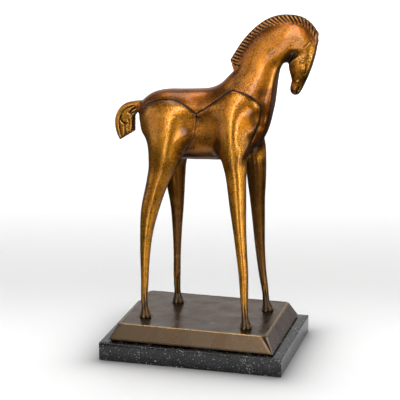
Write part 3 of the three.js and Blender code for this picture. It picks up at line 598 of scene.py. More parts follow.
# %% The eye
face = new_chart()
face["depth"] -= 1.1 * oval(104.6, 316, 7.0, 3.6, 75)
face["depth"] -= 0.8 * oval(104.8, 324.2, 4.0, 2.2, 35)
face["grime"] = np.maximum(face["grime"], 0.7 * oval(104.8, 318.8, 1.2, 1.0, 60))
carve(face, 0.8, 0.8, (108.4, 321.5), (108.6, 317), (107.9, 312.6), (106.4, 310.4), lip=0.2, grime=0.9)
carve(face, 0.7, 0.35, (104.6, 321), (103.4, 317.5), (104.4, 313.6), grime=0.4)
carve(face, 0.8, 0.6, (101.4, 322.6), (103.2, 324.4), (106, 325.4), lip=0.15, grime=0.8)
carve(face, 0.7, 0.5, (104.6, 327), (108, 327.6), (110.6, 327), lip=0.15, grime=0.6)

# %% Mouth, nostril, and the ridges of jaw, nose and ears
carve(face, 2.4, -1.0, (99.8, 303.5), (98.4, 299), (96.6, 294.6), (95.4, 292), grime=0)
carve(face, 0.9, 1.1, (101.2, 297), (100.2, 294.2), (98.6, 291.6), (97.8, 288), lip=0.15)
face["depth"] += 0.7 * oval(100.6, 293.8, 1.5, 1.1, 40)
face["grime"] = np.maximum(face["grime"], oval(100.6, 293.8, 1.4, 1.1, 40))
carve(face, 1.2, -0.45, (90.3, 321.4), (94.4, 323.9), (98.9, 327), (102.9, 330.6), grime=0)
carve(face, 1.0, -0.45, (118.2, 345), (117.3, 340), (116.6, 335), (114.6, 328), (112.6, 321.5),
      (109.7, 313), grime=0)
carve(face, 0.9, -0.45, (106.4, 336.6), (109.4, 339.1), (113.2, 343), (116.2, 346.2), grime=0)
carve(face, 0.8, 0.4, (105.6, 337.8), (109, 341), (112.4, 344.4), grime=0.45)
print("face raised by up to", round(-float(face["depth"].min()), 2), "mm")

# %% Laying the charts on the figure
edges["depth"] *= ramp(side_z, 200, 230)
for chart, start, end in ((edges, 5, 8), (mane, 0.8, 1.8), (tail, 1.5, 3.5), (face, 1.5, 3.5)):
    body += through(chart["depth"]) * ramp(ASIDE, start, end)
grime = np.max([chart["grime"] for chart in (edges, mane, tail, face)], axis=0)
print("grime on", round(float((grime > 0.5).mean()), 3), "of the side view")

# %% [markdown]
# ## Feet
#
# The legs end without hooves: the bronze runs out over the base in knobs, like the roots of a
# tree, with a dark valley between two of them, and the valleys climb the cannon as fine flutes.
# The knobs could be balls pressed into the leg. They are short runs of rings instead, because
# those join the leg softly, and the flutes are cut by the angle round it.

# %% Toes and flutes
TOE_TURNS = [8, 47, 98, 146, 186, 232, 300]
TOE_REACHES = [11.5, 8.4, 7.6, 8.6, 11.5, 8.8, 9.0]
TOE_HALVES = [1.0, 1.5, 1.8, 1.5, 1.0, 1.3, 1.3]
TOE_FILLET = 1.4
FLUTE_TURNS = [26, 74, 125, 166, 212, 275, 338]
FLUTE_TOP = 34.0
FLUTE_DEPTH = 0.95
FLUTE_HALF_WIDTH = 1.25
floor_level = base_high.z - 0.25

flute_dark = np.zeros(body.shape, np.float32)
for x, y, lean in FEET.values():
    for turn, reach, thick in zip(TOE_TURNS, TOE_REACHES, TOE_HALVES):
        ahead, aside = math.cos(math.radians(turn)), -math.sin(math.radians(turn))
        rings = [
            (x + out * ahead, y + out * aside, HOOF + up, radius, radius)
            for out, up, radius in ((2, 6, 2.2), (0.6 * reach, 1.6, 0.5 * thick + 0.8), (reach, 0.2, thick))
        ]
        join_in(body, mass(rings), TOE_FILLET)
    place = block((x - 16, y - 16, HOOF - 4), (x + 16, y + 16, HOOF + FLUTE_TOP + 2))
    height = Z[:, :, place[2]] - HOOF
    dx = X[place[0]] - (x - lean * np.clip(height / 22, 0, 1))
    dy = Y[:, place[1]] - y
    angle = np.arctan2(-dy, dx)
    radius = np.hypot(dx, dy)
    flute = np.zeros(np.broadcast_shapes(angle.shape, height.shape), np.float32)
    for turn in FLUTE_TURNS:
        off = (angle - math.radians(turn) + math.pi) % (2 * math.pi) - math.pi
        flute = np.maximum(flute, bell(off * np.maximum(radius, 2) / FLUTE_HALF_WIDTH))
    flute *= ramp(height, FLUTE_TOP, FLUTE_TOP - 14) * ramp(radius, 1.5, 3)
    body[place] += FLUTE_DEPTH * flute * (0.65 + 0.35 * ramp(height, 12, 3))
    flute_dark[place] = np.maximum(flute_dark[place], flute)
body = np.maximum(body, floor_level - Z)
print(len(FEET), "feet with", len(TOE_TURNS), "knobs and", len(FLUTE_TURNS), "flutes each")

# %% [markdown]
# ## From the field to a mesh
#
# The skin of a casting is one closed surface. Walking through the grid in Python would find it
# slowly, but OpenVDB, which comes with Blender, turns the grid into quads along the zero surface
# at once. It makes far more faces than the flat parts need, so a Decimate modifier then merges
# them there and leaves them small in the mane and the grooves.

# %% Polygons
NEAR_SURFACE = 3.0
vdb_grid = openvdb.FloatGrid(NEAR_SURFACE)
vdb_grid.copyFromArray(np.clip(body, -NEAR_SURFACE, NEAR_SURFACE))
points, quads = vdb_grid.convertToQuads(isovalue=0.0)
points = grid_low + points * CELL
print(len(points), "points and", len(quads), "quads")


def trilinear(values, places):
    """Values of the grid at free places between its points."""
    spot = np.clip((places - grid_low) / CELL, 0, np.array(values.shape) - 1.001)
    i = spot.astype(int)
    f = spot - i
    total = np.zeros(len(places))
    for corner in range(8):
        step = [(corner >> n) & 1 for n in range(3)]
        weight = np.prod([f[:, n] if step[n] else 1 - f[:, n] for n in range(3)], axis=0)
        total += weight * values[i[:, 0] + step[0], i[:, 1] + step[1], i[:, 2] + step[2]]
    return total


def mesh_object(name, vertices, faces):
    mesh = bpy.data.meshes.new(name)
    mesh.from_pydata(vertices, [], faces)
    mesh.validate()
    made = bpy.data.objects.new(name, mesh)
    bpy.context.scene.collection.objects.link(made)
    return made


def volume_of(obj):
    bm = bmesh.new()
    bm.from_mesh(obj.data)
    volume = bm.calc_volume(signed=True)
    bm.free()
    return volume


TRIANGLE_BUDGET = 190_000
skin = np.minimum(points + [0, MIDDLE_Y, 0], horse_high) * MM
horse = mesh_object("horse_casting", skin.tolist(), quads.tolist())
if volume_of(horse) < 0:
    horse.data.flip_normals()
if 2 * len(quads) > TRIANGLE_BUDGET:
    decimate = horse.modifiers.new("fewer faces on flat skin", "DECIMATE")
    decimate.ratio = TRIANGLE_BUDGET / (2 * len(quads))
    depsgraph = bpy.context.evaluated_depsgraph_get()
    finer = horse.data
    horse.data = bpy.data.meshes.new_from_object(horse.evaluated_get(depsgraph))
    horse.modifiers.clear()
    bpy.data.meshes.remove(finer)
horse.data.shade_smooth()
print(len(horse.data.polygons), "faces, volume", round(volume_of(horse) * 1e6, 1), "cubic centimetres")

# %% [markdown]
# ## Where the patina stays and where hands rub
#
# A bronze is coloured dark, waxed, and rubbed bright again on everything that stands out. The
# places could be painted by hand, but most of them follow from the form itself: where the
# blurred field is above the field the skin is convex and gets rubbed, and where it is below, in
# a hollow, the dark stays. The others are patches of the side view, drawn as ovals and as strips
# along the lines. Some masks paint light and shade into the colour: painted shade in broad
# hollows, under the belly and the throat, on the inner sides of the legs, on the top of the neck
# and in pockets and seams of the body, and painted light on the flank and the cheek.

# %% Values on the skin
FINE, BROAD, WIDE = 1.4, 4.5, 7.0


def vertex_values(obj, name):
    """A vector of every vertex, one row each."""
    values = np.empty(len(obj.data.vertices) * 3)
    obj.data.vertices.foreach_get(name, values)
    return values.reshape(-1, 3)


def from_chart(chart):
    return trilinear(np.broadcast_to(through(chart), body.shape), places)


places = vertex_values(horse, "co") / MM - [0, MIDDLE_Y, 0]
normals = vertex_values(horse, "normal")
aside, level = np.abs(places[:, 1]), places[:, 2]
fine_form = trilinear(blurred(body, FINE), places)
broad_form = trilinear(blurred(body, BROAD), places)
inside_share = trilinear(blurred((body < 0).astype(np.float32), WIDE), places)
print("the skin is convex at", round(float((fine_form > 0).mean()), 2), "of its points")

# %% Masks from the form
grooves = np.maximum(from_chart(grime) * ramp(aside, 1.5, 4), trilinear(flute_dark, places))
hollow = np.clip(0.8 * ramp(-fine_form, 0.06, 0.45) + grooves, 0, 1)
rubbed = ramp(fine_form, 0.12, 0.5)
dome = ramp(broad_form, 0.0, 1.2)
leg = ramp(level, 225, 160)
upward = ramp(normals[:, 2], 0.35, 0.95)
under = ramp(-normals[:, 2], 0.15, 0.6) * ramp(level, 190, 215)
# Painted shade on the inner sides of the legs, laid with the umber stains.
painted_shade_inside_legs = ramp(-normals[:, 1] * np.sign(places[:, 1]), -0.1, 0.5) * ramp(level, 222, 205)
height = level - base_high.z
knob = ramp(fine_form, 0.34, 0.70)
foot = ramp(height, 36, 7) * (1 - 0.75 * knob) + 0.6 * ramp(height, 2.5, 0.5)
throat = from_chart(throat_shade) * ramp(aside, 3, 8)
mane_back = from_chart(ramp(crest_away, 1.6, 0.4))
# Painted shade in broad concave places, at the throat, along the crest of the mane and on the underside, with
# a darkening towards the base on the lower legs, all in one mask.
shade = np.clip(ramp(inside_share, 0.54, 0.66) + throat + foot + 0.8 * mane_back + 0.9 * under, 0, 1)

# %% Masks from the side view
# Painted light: the cheek and the flank get a lighter amber colour, and the cheek fewer specks, to stand for
# light they would catch.
cheek = from_chart(oval(100, 316, 22, 9, 75))
flank = from_chart(oval(3, 244, 36, 20, 90))
# Painted shade: the top of the neck is darkened, laid with the dull chestnut.
painted_shade_on_neck_top = from_chart(oval(82, 348, 34, 17, 10))
dull = ramp(broad_form, 0.5, 0.1) * ramp(level, 216, 238) * ramp(level, 300, 285) * (1 - flank)

neck_base = side_line((40, 296), (56, 293), (66, 284), (68, 262))
speckled = np.maximum(bell(nearest_edge / 9), bell(nearest_on(neck_base)[0] / 13))

panels_away = np.minimum(outside(haunch_outline), outside(shoulder_outline))
back_and_chest = ramp(panels_away, 0, 5) * ramp(side_z, 305, 285)
back_and_chest *= ramp(side_z, 205, 240) * ramp(side_x, -78, -70)
mane_and_crest = ramp(outside(mane_outline), 9, 0)
right_of_fold = bell(nearest_on(flank_fold + (9, 0))[0] / 20)
front_strip = ramp(nearest_on(neck_front)[0], 9, 2) * ramp(side_z, 330, 315)
rusty = np.max([back_and_chest, 0.9 * mane_and_crest, 0.8 * right_of_fold, 0.3 * front_strip], axis=0)

# Mostly painted shade: umber in the pocket between flank and foreleg, at the haunch's right edge, inside the
# shoulder's right edge and along the seams; on the saddle it is darker patina.
painted_shade_and_stain = np.max([
    1.1 * oval(19, 232, 20, 8, 80),
    0.75 * oval(-14, 246, 24, 9, 97),
    0.5 * oval(-3, 275, 15, 8, 5),
    0.8 * oval(56, 262, 26, 7, 100),
    0.45 * bell(nearest_seam / 5),
], axis=0)

# %% Storing the masks
def mask(obj, name, values):
    attribute = obj.data.attributes.new(name, "FLOAT", "POINT")
    attribute.data.foreach_set("value", values.astype(np.float32))


masks = {
    "dome": dome,
    "rusty": from_chart(rusty),
    "upward": upward,
    "dull": np.maximum(dull, painted_shade_on_neck_top),
    "painted_light": np.maximum(flank, cheek),
    "painted_shade_and_stain": np.maximum(from_chart(painted_shade_and_stain), 0.8 * painted_shade_inside_legs),
    "leg": leg,
    "speckled": from_chart(speckled) - 0.5 * cheek,
    "rubbed": rubbed,
    "shade": shade,
    "hollow": hollow,
}
for name, values in masks.items():
    mask(horse, name, values)
    print(name, "covers", round(float(values.mean()), 3))

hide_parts("horse")
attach(horse, "root")

# %% [markdown]
# ## The two blocks under the horse
#
# Base and plinth are rounded rectangles that change from level to level, so one function lofts
# both of them. A bevelled cube would do for a new plinth, but the bronze base was cast in a
# mould that gave a little: its top is slightly wavy, and its edges are rubbed unevenly.

# %% A loft of rounded rectangles
CORNER_STEPS = 6
SIDE_STEPS = (34, 46)


def rounded(length, width, radii):
    """A rounded rectangle, anticlockwise from the front right corner, with evenly cut sides."""
    corners = []
    for corner, radius in enumerate(radii):
        sign_x, sign_y = (1, 1, -1, -1)[corner], (-1, 1, 1, -1)[corner]
        turns = (corner - 1 + np.arange(CORNER_STEPS + 1) / CORNER_STEPS) * math.pi / 2
        middle = np.array([sign_x * (length / 2 - radius), sign_y * (width / 2 - radius)])
        corners.append(middle + radius * np.stack([np.cos(turns), np.sin(turns)], 1))
    line = []
    for corner, arc in enumerate(corners):
        following = corners[(corner + 1) % 4][0]
        shares = np.arange(1, SIDE_STEPS[corner % 2])[:, None] / SIDE_STEPS[corner % 2]
        line += [arc, arc[-1] + shares * (following - arc[-1])]
    return np.vstack(line)


def lofted(levels, shift=0.0):
    """Stacks (outline, z) levels and closes them above and below. All in millimetres."""
    count = len(levels[0][0])
    vertices = np.vstack([np.c_[outline, np.full(count, z)] for outline, z in levels])
    vertices[:, 0] += shift
    faces = []
    for level in range(len(levels) - 1):
        for i in range(count):
            a, b = level * count + i, level * count + (i + 1) % count
            faces.append((a, b, b + count, a + count))
    faces.append(tuple(range(count))[::-1])
    faces.append(tuple(range(len(vertices) - count, len(vertices))))
    return vertices, faces


# %% The bronze base
SLOPE = (9.5, 7.6)
UNDERCUT = 2.2
UNDERCUT_HEIGHT = 1.3
TOP_EDGE = 1.1
TOP_CORNERS = (6, 2, 5, 2)
base_size = base_high - base_low
base_shift = (base_high.x + base_low.x) / 2


def base_level(share, inset, height):
    """The outline at a share of the slope, and its height above the base's foot."""
    size = [base_size[n] - 2 * (SLOPE[n] * share + inset) for n in (0, 1)]
    return rounded(*size, [0.6 + corner * share for corner in TOP_CORNERS]), base_low.z + height


rise = base_size.z - UNDERCUT_HEIGHT
step_in = ((UNDERCUT, 0), (UNDERCUT, UNDERCUT_HEIGHT), (0.5, UNDERCUT_HEIGHT))
levels = [base_level(0, inset, height) for inset, height in step_in]
for share in [*np.linspace(0.02, 1 - (TOP_EDGE + 0.6) / rise, 9), 1 - TOP_EDGE / rise]:
    levels.append(base_level(share, 0.25 if share < 0.03 else 0, UNDERCUT_HEIGHT + share * rise))
for turn in np.radians([25, 42, 58, 74, 90]):
    inset, drop = TOP_EDGE * (1 - math.cos(turn)), TOP_EDGE * (1 - math.sin(turn))
    levels.append(base_level(1, inset, base_size.z - drop))
rim_level = len(levels)
for inset in [TOP_EDGE + 0.5, *np.linspace(3, 56, 17)]:
    size = [base_size[n] - 2 * (SLOPE[n] + inset) for n in (0, 1)]
    radii = [max(0.3, corner * (1 - inset / 30)) for corner in TOP_CORNERS]
    levels.append((rounded(*size, radii), base_high.z))
base_vertices, base_faces = lofted(levels, base_shift)
print("base of", len(levels), "levels with", len(levels[0][0]), "points each")

# %% Waves, nicks and the rub along the edges of the base
WAVE = 0.32
NICK = 0.3
RIM_REACH = 14
points_per_level = len(levels[0][0])
level_of = np.arange(len(base_vertices)) // points_per_level
on_edge = (level_of >= rim_level - 5) & (level_of < rim_level)
feet_at = np.array([(x, y + MIDDLE_Y) for x, y, _ in FEET.values()])
for i, (x, y, z) in enumerate(base_vertices):
    place = Vector((x, y, z))
    if level_of[i] >= rim_level:
        near_foot = np.hypot(*(feet_at - (x, y)).T).min()
        inward = min(1, (level_of[i] - rim_level + 1) / 2)
        wave = noise.noise(place / 19) + 0.5 * noise.noise(place / 8)
        base_vertices[i, 2] -= WAVE * (0.6 + wave) * float(ramp(near_foot, 9, 22)) * inward
    elif on_edge[i]:
        worn = max(0.0, noise.noise(place / 9) + 0.4 * noise.noise(place / 3))
        near_rim = np.abs((x, y)) > np.array(base_size[:2]) / 2 - RIM_REACH
        base_vertices[i, :2] -= NICK * worn * np.sign((x, y)) * near_rim
        base_vertices[i, 2] -= NICK * worn
print("base rub on", int(on_edge.sum()), "of", len(base_vertices), "points")

base = mesh_object("bronze_base_casting", (base_vertices * MM).tolist(), base_faces)
base.data.shade_smooth()
mask(base, "rubbed", on_edge)
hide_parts("bronze_base")
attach(base, "root")

# %% The marble plinth
ARRIS = 0.8
plinth_size = plinth_high - plinth_low


def plinth_level(inset, z):
    return rounded(plinth_size.x - 2 * inset, plinth_size.y - 2 * inset, [1.0] * 4), z


levels = []
for turn in np.radians([0, 30, 60, 90]):
    levels.append(plinth_level(ARRIS * (1 - math.sin(turn)), plinth_low.z + ARRIS * (1 - math.cos(turn))))
levels += [(outline, plinth_high.z + plinth_low.z - z) for outline, z in levels[::-1]]
levels.append(plinth_level(6, plinth_high.z))
plinth_vertices, plinth_faces = lofted(levels)
plinth = mesh_object("black_marble_plinth", (plinth_vertices * MM).tolist(), plinth_faces)
plinth.data.shade_smooth()
print("plinth of", len(levels), "levels,", len(plinth_faces), "faces")
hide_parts("marble_plinth")
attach(plinth, "root")

# %% [markdown]
# ## Effects that more than one material uses
#
# Age and handling leave the same traces on more than one piece: uneven gloss, small specks and
# ragged wear. They could be mixed anew in every material. As a node group each is built once,
# gives back one value, and is placed in a material with that material's own numbers. The helpers
# before them keep a node to one line.

# %% Helpers for nodes
def fill(tree, made, inputs):
    """Gives inputs of a node a number, a colour or another node's socket."""
    for name, value in inputs.items():
        if isinstance(value, bpy.types.NodeSocket):
            tree.links.new(value, made.inputs[name])
        else:
            made.inputs[name].default_value = value


def node(tree, kind, inputs=None, **settings):
    """Adds a node, and gives it its settings and then its inputs."""
    made = tree.nodes.new(kind)
    for name, value in settings.items():
        setattr(made, name, value)
    fill(tree, made, inputs or {})
    return made


def attribute(tree, name):
    return node(tree, "ShaderNodeAttribute", attribute_name=name, attribute_type="GEOMETRY").outputs["Fac"]


def own_place(tree):
    """The object's own coordinates, in metres."""
    return node(tree, "ShaderNodeTexCoord").outputs["Object"]


def maths(tree, operation, a, b=0.0, c=0.0):
    return node(tree, "ShaderNodeMath", {0: a, 1: b, 2: c}, operation=operation).outputs[0]


def vector(tree, operation, a, b=(0, 0, 0)):
    made = node(tree, "ShaderNodeVectorMath", {0: a, 1: b}, operation=operation)
    return made.outputs["Value" if operation in ("LENGTH", "DISTANCE", "DOT_PRODUCT") else "Vector"]


def map_range(tree, value, low, high, to_low=0.0, to_high=1.0):
    inputs = {"Value": value, "From Min": low, "From Max": high, "To Min": to_low, "To Max": to_high}
    return node(tree, "ShaderNodeMapRange", inputs, interpolation_type="SMOOTHSTEP").outputs["Result"]


# %% Helpers for noise and colour
def scaled(tree, factor):
    """The own coordinates times a factor, which may be a socket."""
    inputs = {0: own_place(tree), "Scale": factor}
    return node(tree, "ShaderNodeVectorMath", inputs, operation="SCALE").outputs[0]


def noise_at(tree, scale, detail, stretch=(1, 1, 1)):
    place = vector(tree, "MULTIPLY", scaled(tree, scale), stretch)
    return node(tree, "ShaderNodeTexNoise", {"Vector": place, "Scale": 1.0, "Detail": detail}).outputs["Fac"]


def ragged(tree, value, reach, scale, detail):
    """Frays a value by noise, up and down by half the reach."""
    return maths(tree, "MULTIPLY_ADD", noise_at(tree, scale, detail), reach,
                 maths(tree, "SUBTRACT", value, reach / 2))


def rgba(colour):
    return colour if isinstance(colour, bpy.types.NodeSocket) else (*colour, 1.0)


def laid(tree, under, over, mask, strength=1.0):
    """Lays a colour over another where the mask is, at a strength."""
    factor = maths(tree, "MULTIPLY", mask, strength)
    inputs = {0: factor, 6: rgba(under), 7: rgba(over)}
    return node(tree, "ShaderNodeMix", inputs, data_type="RGBA").outputs[2]


BUMP_DEPTH = 0.3 * MM


def bumped(tree, shader, height, strength):
    bump = node(tree, "ShaderNodeBump", {"Height": height, "Strength": strength, "Distance": BUMP_DEPTH})
    tree.links.new(bump.outputs["Normal"], shader.inputs["Normal"])


# %% Groups and materials
def group(name, inputs, output):
    """An empty node group with named inputs and one output, and its input sockets."""
    tree = bpy.data.node_groups.new(name, "ShaderNodeTree")
    for socket_name in inputs:
        tree.interface.new_socket(socket_name, in_out="INPUT", socket_type="NodeSocketFloat")
    tree.interface.new_socket(output, in_out="OUTPUT", socket_type="NodeSocketFloat")
    return tree, node(tree, "NodeGroupInput").outputs


def placed(tree, group_tree, **inputs):
    """Places a group in a material and gives back its output."""
    return node(tree, "ShaderNodeGroup", inputs, node_tree=group_tree).outputs[0]


def new_material(name):
    material = bpy.data.materials.new(name)
    material.use_nodes = True
    tree = material.node_tree
    return material, tree, tree.nodes["Principled BSDF"]


# %% Uneven gloss
gloss, given = group("uneven gloss", ["Scale", "Least", "Most"], "Roughness")
smear = map_range(gloss, noise_at(gloss, given["Scale"], 5.0), 0.3, 0.7, given["Least"], given["Most"])
node(gloss, "NodeGroupOutput", {"Roughness": smear})

# %% Specks
specks, given = group("specks", ["Scale", "Share", "Patches"], "Mask")
threshold = maths(specks, "MULTIPLY_ADD", noise_at(specks, given["Patches"], 2.0), -0.45, 0.92)
threshold = maths(specks, "MULTIPLY_ADD", given["Share"], -0.3, threshold)
above = maths(specks, "SUBTRACT", noise_at(specks, given["Scale"], 3.0), threshold)
node(specks, "NodeGroupOutput", {"Mask": map_range(specks, above, -0.03, 0.05)})

# %% Ragged wear
wear, given = group("ragged wear", ["Rubbed", "Scale", "Amount"], "Mask")
worn = map_range(wear, ragged(wear, given["Rubbed"], 1.2, given["Scale"], 4.0), 0.25, 0.85)
node(wear, "NodeGroupOutput", {"Mask": maths(wear, "MULTIPLY", worn, given["Amount"])})

# %% [markdown]
# ## Golden patina
#
# The foal is gold and honey on its domes, rusty along the back and the mane, and chestnut where
# it has gone dull; the top of the neck is darkened with it as painted shade. The flank and the
# cheek get a lighter amber as painted light. Umber stains, streaks and specks lie over that, and
# umber painted shade in the pockets and seams of the body and on the inner sides of the legs.
# Then come what hands have rubbed bright, a dark painted shade in broad hollows, under the belly
# and the throat and along the crest of the mane, a darkening towards the feet, and at last the
# dark wax in every hollow. A painted picture would fit one side only. Here the colours are laid
# in that order over the masks made above, the real ones as a founder lays them, so they fit the
# form from every side.

# %% The colours of the horse
GOLD = (0.66, 0.275, 0.020)
HONEY = (0.50, 0.172, 0.010)
RUST = (0.38, 0.112, 0.010)
CHESTNUT = (0.27, 0.080, 0.007)
PAINTED_LIGHT_AMBER = (0.95, 0.36, 0.045)
UMBER = (0.085, 0.031, 0.006)

bronze, tree, shader = new_material("golden patina")
gilt = ragged(tree, maths(tree, "MULTIPLY", attribute(tree, "dome"), 0.6), 1.6, 26, 5.0)
colour = laid(tree, HONEY, GOLD, map_range(tree, gilt, -0.1, 0.7))
rusty = map_range(tree, ragged(tree, attribute(tree, "rusty"), 1.2, 48, 4.0), 0.1, 0.9)
rusty = maths(tree, "MAXIMUM", rusty, maths(tree, "MULTIPLY", attribute(tree, "upward"), 0.5))
colour = laid(tree, colour, RUST, rusty)
# The dull chestnut also lays a painted shade on the top of the neck.
dull = map_range(tree, ragged(tree, attribute(tree, "dull"), 0.9, 60, 4.0), 0.1, 0.9)
colour = laid(tree, colour, CHESTNUT, dull, 0.35)
# Painted light: a lighter amber on the flank and the cheek.
colour = laid(tree, colour, PAINTED_LIGHT_AMBER, attribute(tree, "painted_light"))
# Umber, mostly painted shade and partly stain, in the pockets and seams of the body and on the inner sides of
# the legs.
painted_shade_and_stain = map_range(tree, ragged(tree, attribute(tree, "painted_shade_and_stain"), 0.9, 110, 5.0), 0.15, 0.85)
colour = laid(tree, colour, UMBER, painted_shade_and_stain, 0.85)
print("the colours take", len(tree.nodes), "nodes")

# %% Streaks, specks and smudges
ALONG_LEGS = (1, 1, 0.07)
streak = map_range(tree, noise_at(tree, 330, 4.0, ALONG_LEGS), 0.50, 0.68)
colour = laid(tree, colour, UMBER, maths(tree, "MULTIPLY", streak, attribute(tree, "leg")), 0.65)
mottle = map_range(tree, noise_at(tree, 420, 3.0), 0.35, 0.7)
colour = laid(tree, colour, UMBER, mottle, 0.32)
speckled = attribute(tree, "speckled")
share = maths(tree, "MULTIPLY_ADD", speckled, 0.45, 0.42)
speck_mask = placed(tree, specks, Scale=800.0, Share=share, Patches=60.0)
colour = laid(tree, colour, UMBER, speck_mask, 0.75)
smudge = map_range(tree, noise_at(tree, 75, 4.0), 0.52, 0.72)
smudge = maths(tree, "MULTIPLY", smudge, maths(tree, "MULTIPLY_ADD", speckled, 0.5, 0.25))
colour = laid(tree, colour, UMBER, smudge)

# %% Bright rub, painted shade and dark wax
BRIGHT = (0.80, 0.45, 0.12)
DARK = (0.018, 0.009, 0.004)
rub_mask = placed(tree, wear, Rubbed=attribute(tree, "rubbed"), Scale=260.0, Amount=0.45)
colour = laid(tree, colour, BRIGHT, rub_mask)
# Painted shade in broad hollows, under the belly and the throat and along the mane's crest, and a darkening
# towards the feet.
colour = laid(tree, colour, DARK, attribute(tree, "shade"), 0.85)
dark_mask = map_range(tree, attribute(tree, "hollow"), 0.1, 0.8)
colour = laid(tree, colour, DARK, dark_mask)

# %% Gloss and grain
rough = placed(tree, gloss, Scale=70.0, Least=0.30, Most=0.42)
rough = maths(tree, "MULTIPLY_ADD", dark_mask, 0.25, rough)
fill(tree, shader, {"Base Color": colour, "Metallic": 1.0, "Roughness": rough})
fill(tree, shader, {"Coat Weight": 0.40, "Coat Roughness": 0.10})
grain = maths(tree, "MULTIPLY_ADD", speck_mask, -0.6, noise_at(tree, 700, 3.0))
bumped(tree, shader, maths(tree, "MULTIPLY_ADD", noise_at(tree, 120, 3.0), 0.8, grain), 0.14)
horse.data.materials.append(bronze)
print(bronze.name, "has", len(tree.nodes), "nodes")

# %% [markdown]
# ## The base's darker bronze
#
# The base is dull brown and grey on top. Its long sides are darker and warmer, a painted shade,
# and its short ones paler, a painted light; its edges are rubbed through to a lighter bronze,
# and wax has gathered round the feet. A material for each face would show a line at every edge,
# so one material asks which way the surface faces and how near the next foot is.

# %% The base's tones
BASE_BROWN = (0.105, 0.064, 0.040)
BASE_GREY = (0.125, 0.098, 0.082)
BASE_PAINTED_SHADE = (0.072, 0.047, 0.025)
BASE_PAINTED_LIGHT = (0.270, 0.215, 0.190)
BASE_EDGE = (0.45, 0.29, 0.13)
dark_bronze, tree, shader = new_material("dark cast bronze")
clouds = map_range(tree, noise_at(tree, 35, 5.0), 0.35, 0.68)
colour = laid(tree, BASE_BROWN, BASE_GREY, clouds)
normal = node(tree, "ShaderNodeNewGeometry").outputs["Normal"]
facing = node(tree, "ShaderNodeSeparateXYZ", {0: normal}).outputs
# Painted shade on the long sides and painted light on the short sides, by the way each faces.
for axis, tone in (("Y", BASE_PAINTED_SHADE), ("X", BASE_PAINTED_LIGHT)):
    side = map_range(tree, maths(tree, "ABSOLUTE", facing[axis]), 0.5, 0.8)
    colour = laid(tree, colour, tone, side, 0.85)
speck_mask = placed(tree, specks, Scale=900.0, Share=0.25, Patches=60.0)
colour = laid(tree, colour, UMBER, speck_mask, 0.5)
rub_mask = placed(tree, wear, Rubbed=attribute(tree, "rubbed"), Scale=260.0, Amount=0.85)
colour = laid(tree, colour, BASE_EDGE, rub_mask)

# %% Wax round the feet, gloss and grain
foot_distance = 1.0
for x, y, _ in FEET.values():
    gap = vector(tree, "DISTANCE", own_place(tree), Vector((x, y + MIDDLE_Y, base_high.z)) * MM)
    foot_distance = maths(tree, "MINIMUM", foot_distance, gap)
web = maths(tree, "MULTIPLY_ADD", noise_at(tree, 330, 3.0), -0.010, foot_distance)
colour = laid(tree, colour, DARK, map_range(tree, web, 0.0055, 0.002), 0.95)
rough = placed(tree, gloss, Scale=45.0, Least=0.22, Most=0.34)
fill(tree, shader, {"Base Color": colour, "Metallic": 0.9, "Roughness": rough})
height = maths(tree, "MULTIPLY_ADD", noise_at(tree, 60, 4.0), 1.8, noise_at(tree, 500, 3.0))
bumped(tree, shader, height, 0.2)
base.data.materials.append(dark_bronze)
print(dark_bronze.name, "has", len(tree.nodes), "nodes")

# %% [markdown]
# ## Polished marble
#
# Black marble is nearly a mirror. Its black turns to grey in soft clouds, and its white is
# crystal: small angular flecks in three sizes, and a few thin veins. Noise alone gives round
# blots, so the flecks come from a Voronoi pattern, whose cells are as angular as crystals, and a
# vein follows the line where a soft noise passes its middle value.

# %% The marble
MARBLE_BLACK = (0.003, 0.003, 0.0032)
MARBLE_GREY = (0.008, 0.0082, 0.0085)
MARBLE_WHITE = (0.60, 0.61, 0.62)
marble, tree, shader = new_material("black marble")
colour = laid(tree, MARBLE_BLACK, MARBLE_GREY, map_range(tree, noise_at(tree, 40, 5.0), 0.4, 0.7))


def flecks(tree, scale, size, share):
    """Crystals: in a share of the cells of a Voronoi pattern, a spot of that part of the cell."""
    inputs = {"Vector": scaled(tree, scale), "Scale": 1.0}
    crystal = node(tree, "ShaderNodeTexVoronoi", inputs, distance="MANHATTAN").outputs
    spot = map_range(tree, crystal["Distance"], size, 0.5 * size)
    chosen = node(tree, "ShaderNodeSeparateColor", {"Color": crystal["Color"]}).outputs[0]
    return maths(tree, "MULTIPLY", spot, maths(tree, "LESS_THAN", chosen, share))


for scale, size, share, strength in (
    (380.0, 0.40, 0.05, 0.9),
    (620.0, 0.50, 0.16, 0.7),
    (1100.0, 0.50, 0.20, 0.4),
):
    colour = laid(tree, colour, MARBLE_WHITE, flecks(tree, scale, size, share), strength)

# %% Veins and polish
vein = maths(tree, "ABSOLUTE", maths(tree, "SUBTRACT", noise_at(tree, 30, 4.0), 0.5))
vein = map_range(tree, vein, 0.006, 0.0)
vein = maths(tree, "MULTIPLY", vein, map_range(tree, noise_at(tree, 18, 2.0), 0.52, 0.62))
colour = laid(tree, colour, MARBLE_WHITE, vein, 0.25)
rough = placed(tree, gloss, Scale=35.0, Least=0.10, Most=0.20)
fill(tree, shader, {"Base Color": colour, "Roughness": rough})
plinth.data.materials.append(marble)
print(marble.name, "has", len(tree.nodes), "nodes")

# %% [markdown]
# ## The studio
#
# The object stands in the middle of a round sheet of white paper that rises in a soft bend on
# every side, so no line shows from anywhere. A white world alone would light it too, but metal
# is only as good as what it mirrors: a tall soft panel draws the long bright line down each leg,
# and paler ones beside, above and below it and two walls left and right fill the rest. Of the
# paper the metal mirrors only what lies round the plinth. One more lamp lights the paper, and the
# far paper glows a little on its own. Its tone holds a painted shade: a darker band behind the
# plinth, and a painted shadow that darkens it softly round the plinth.

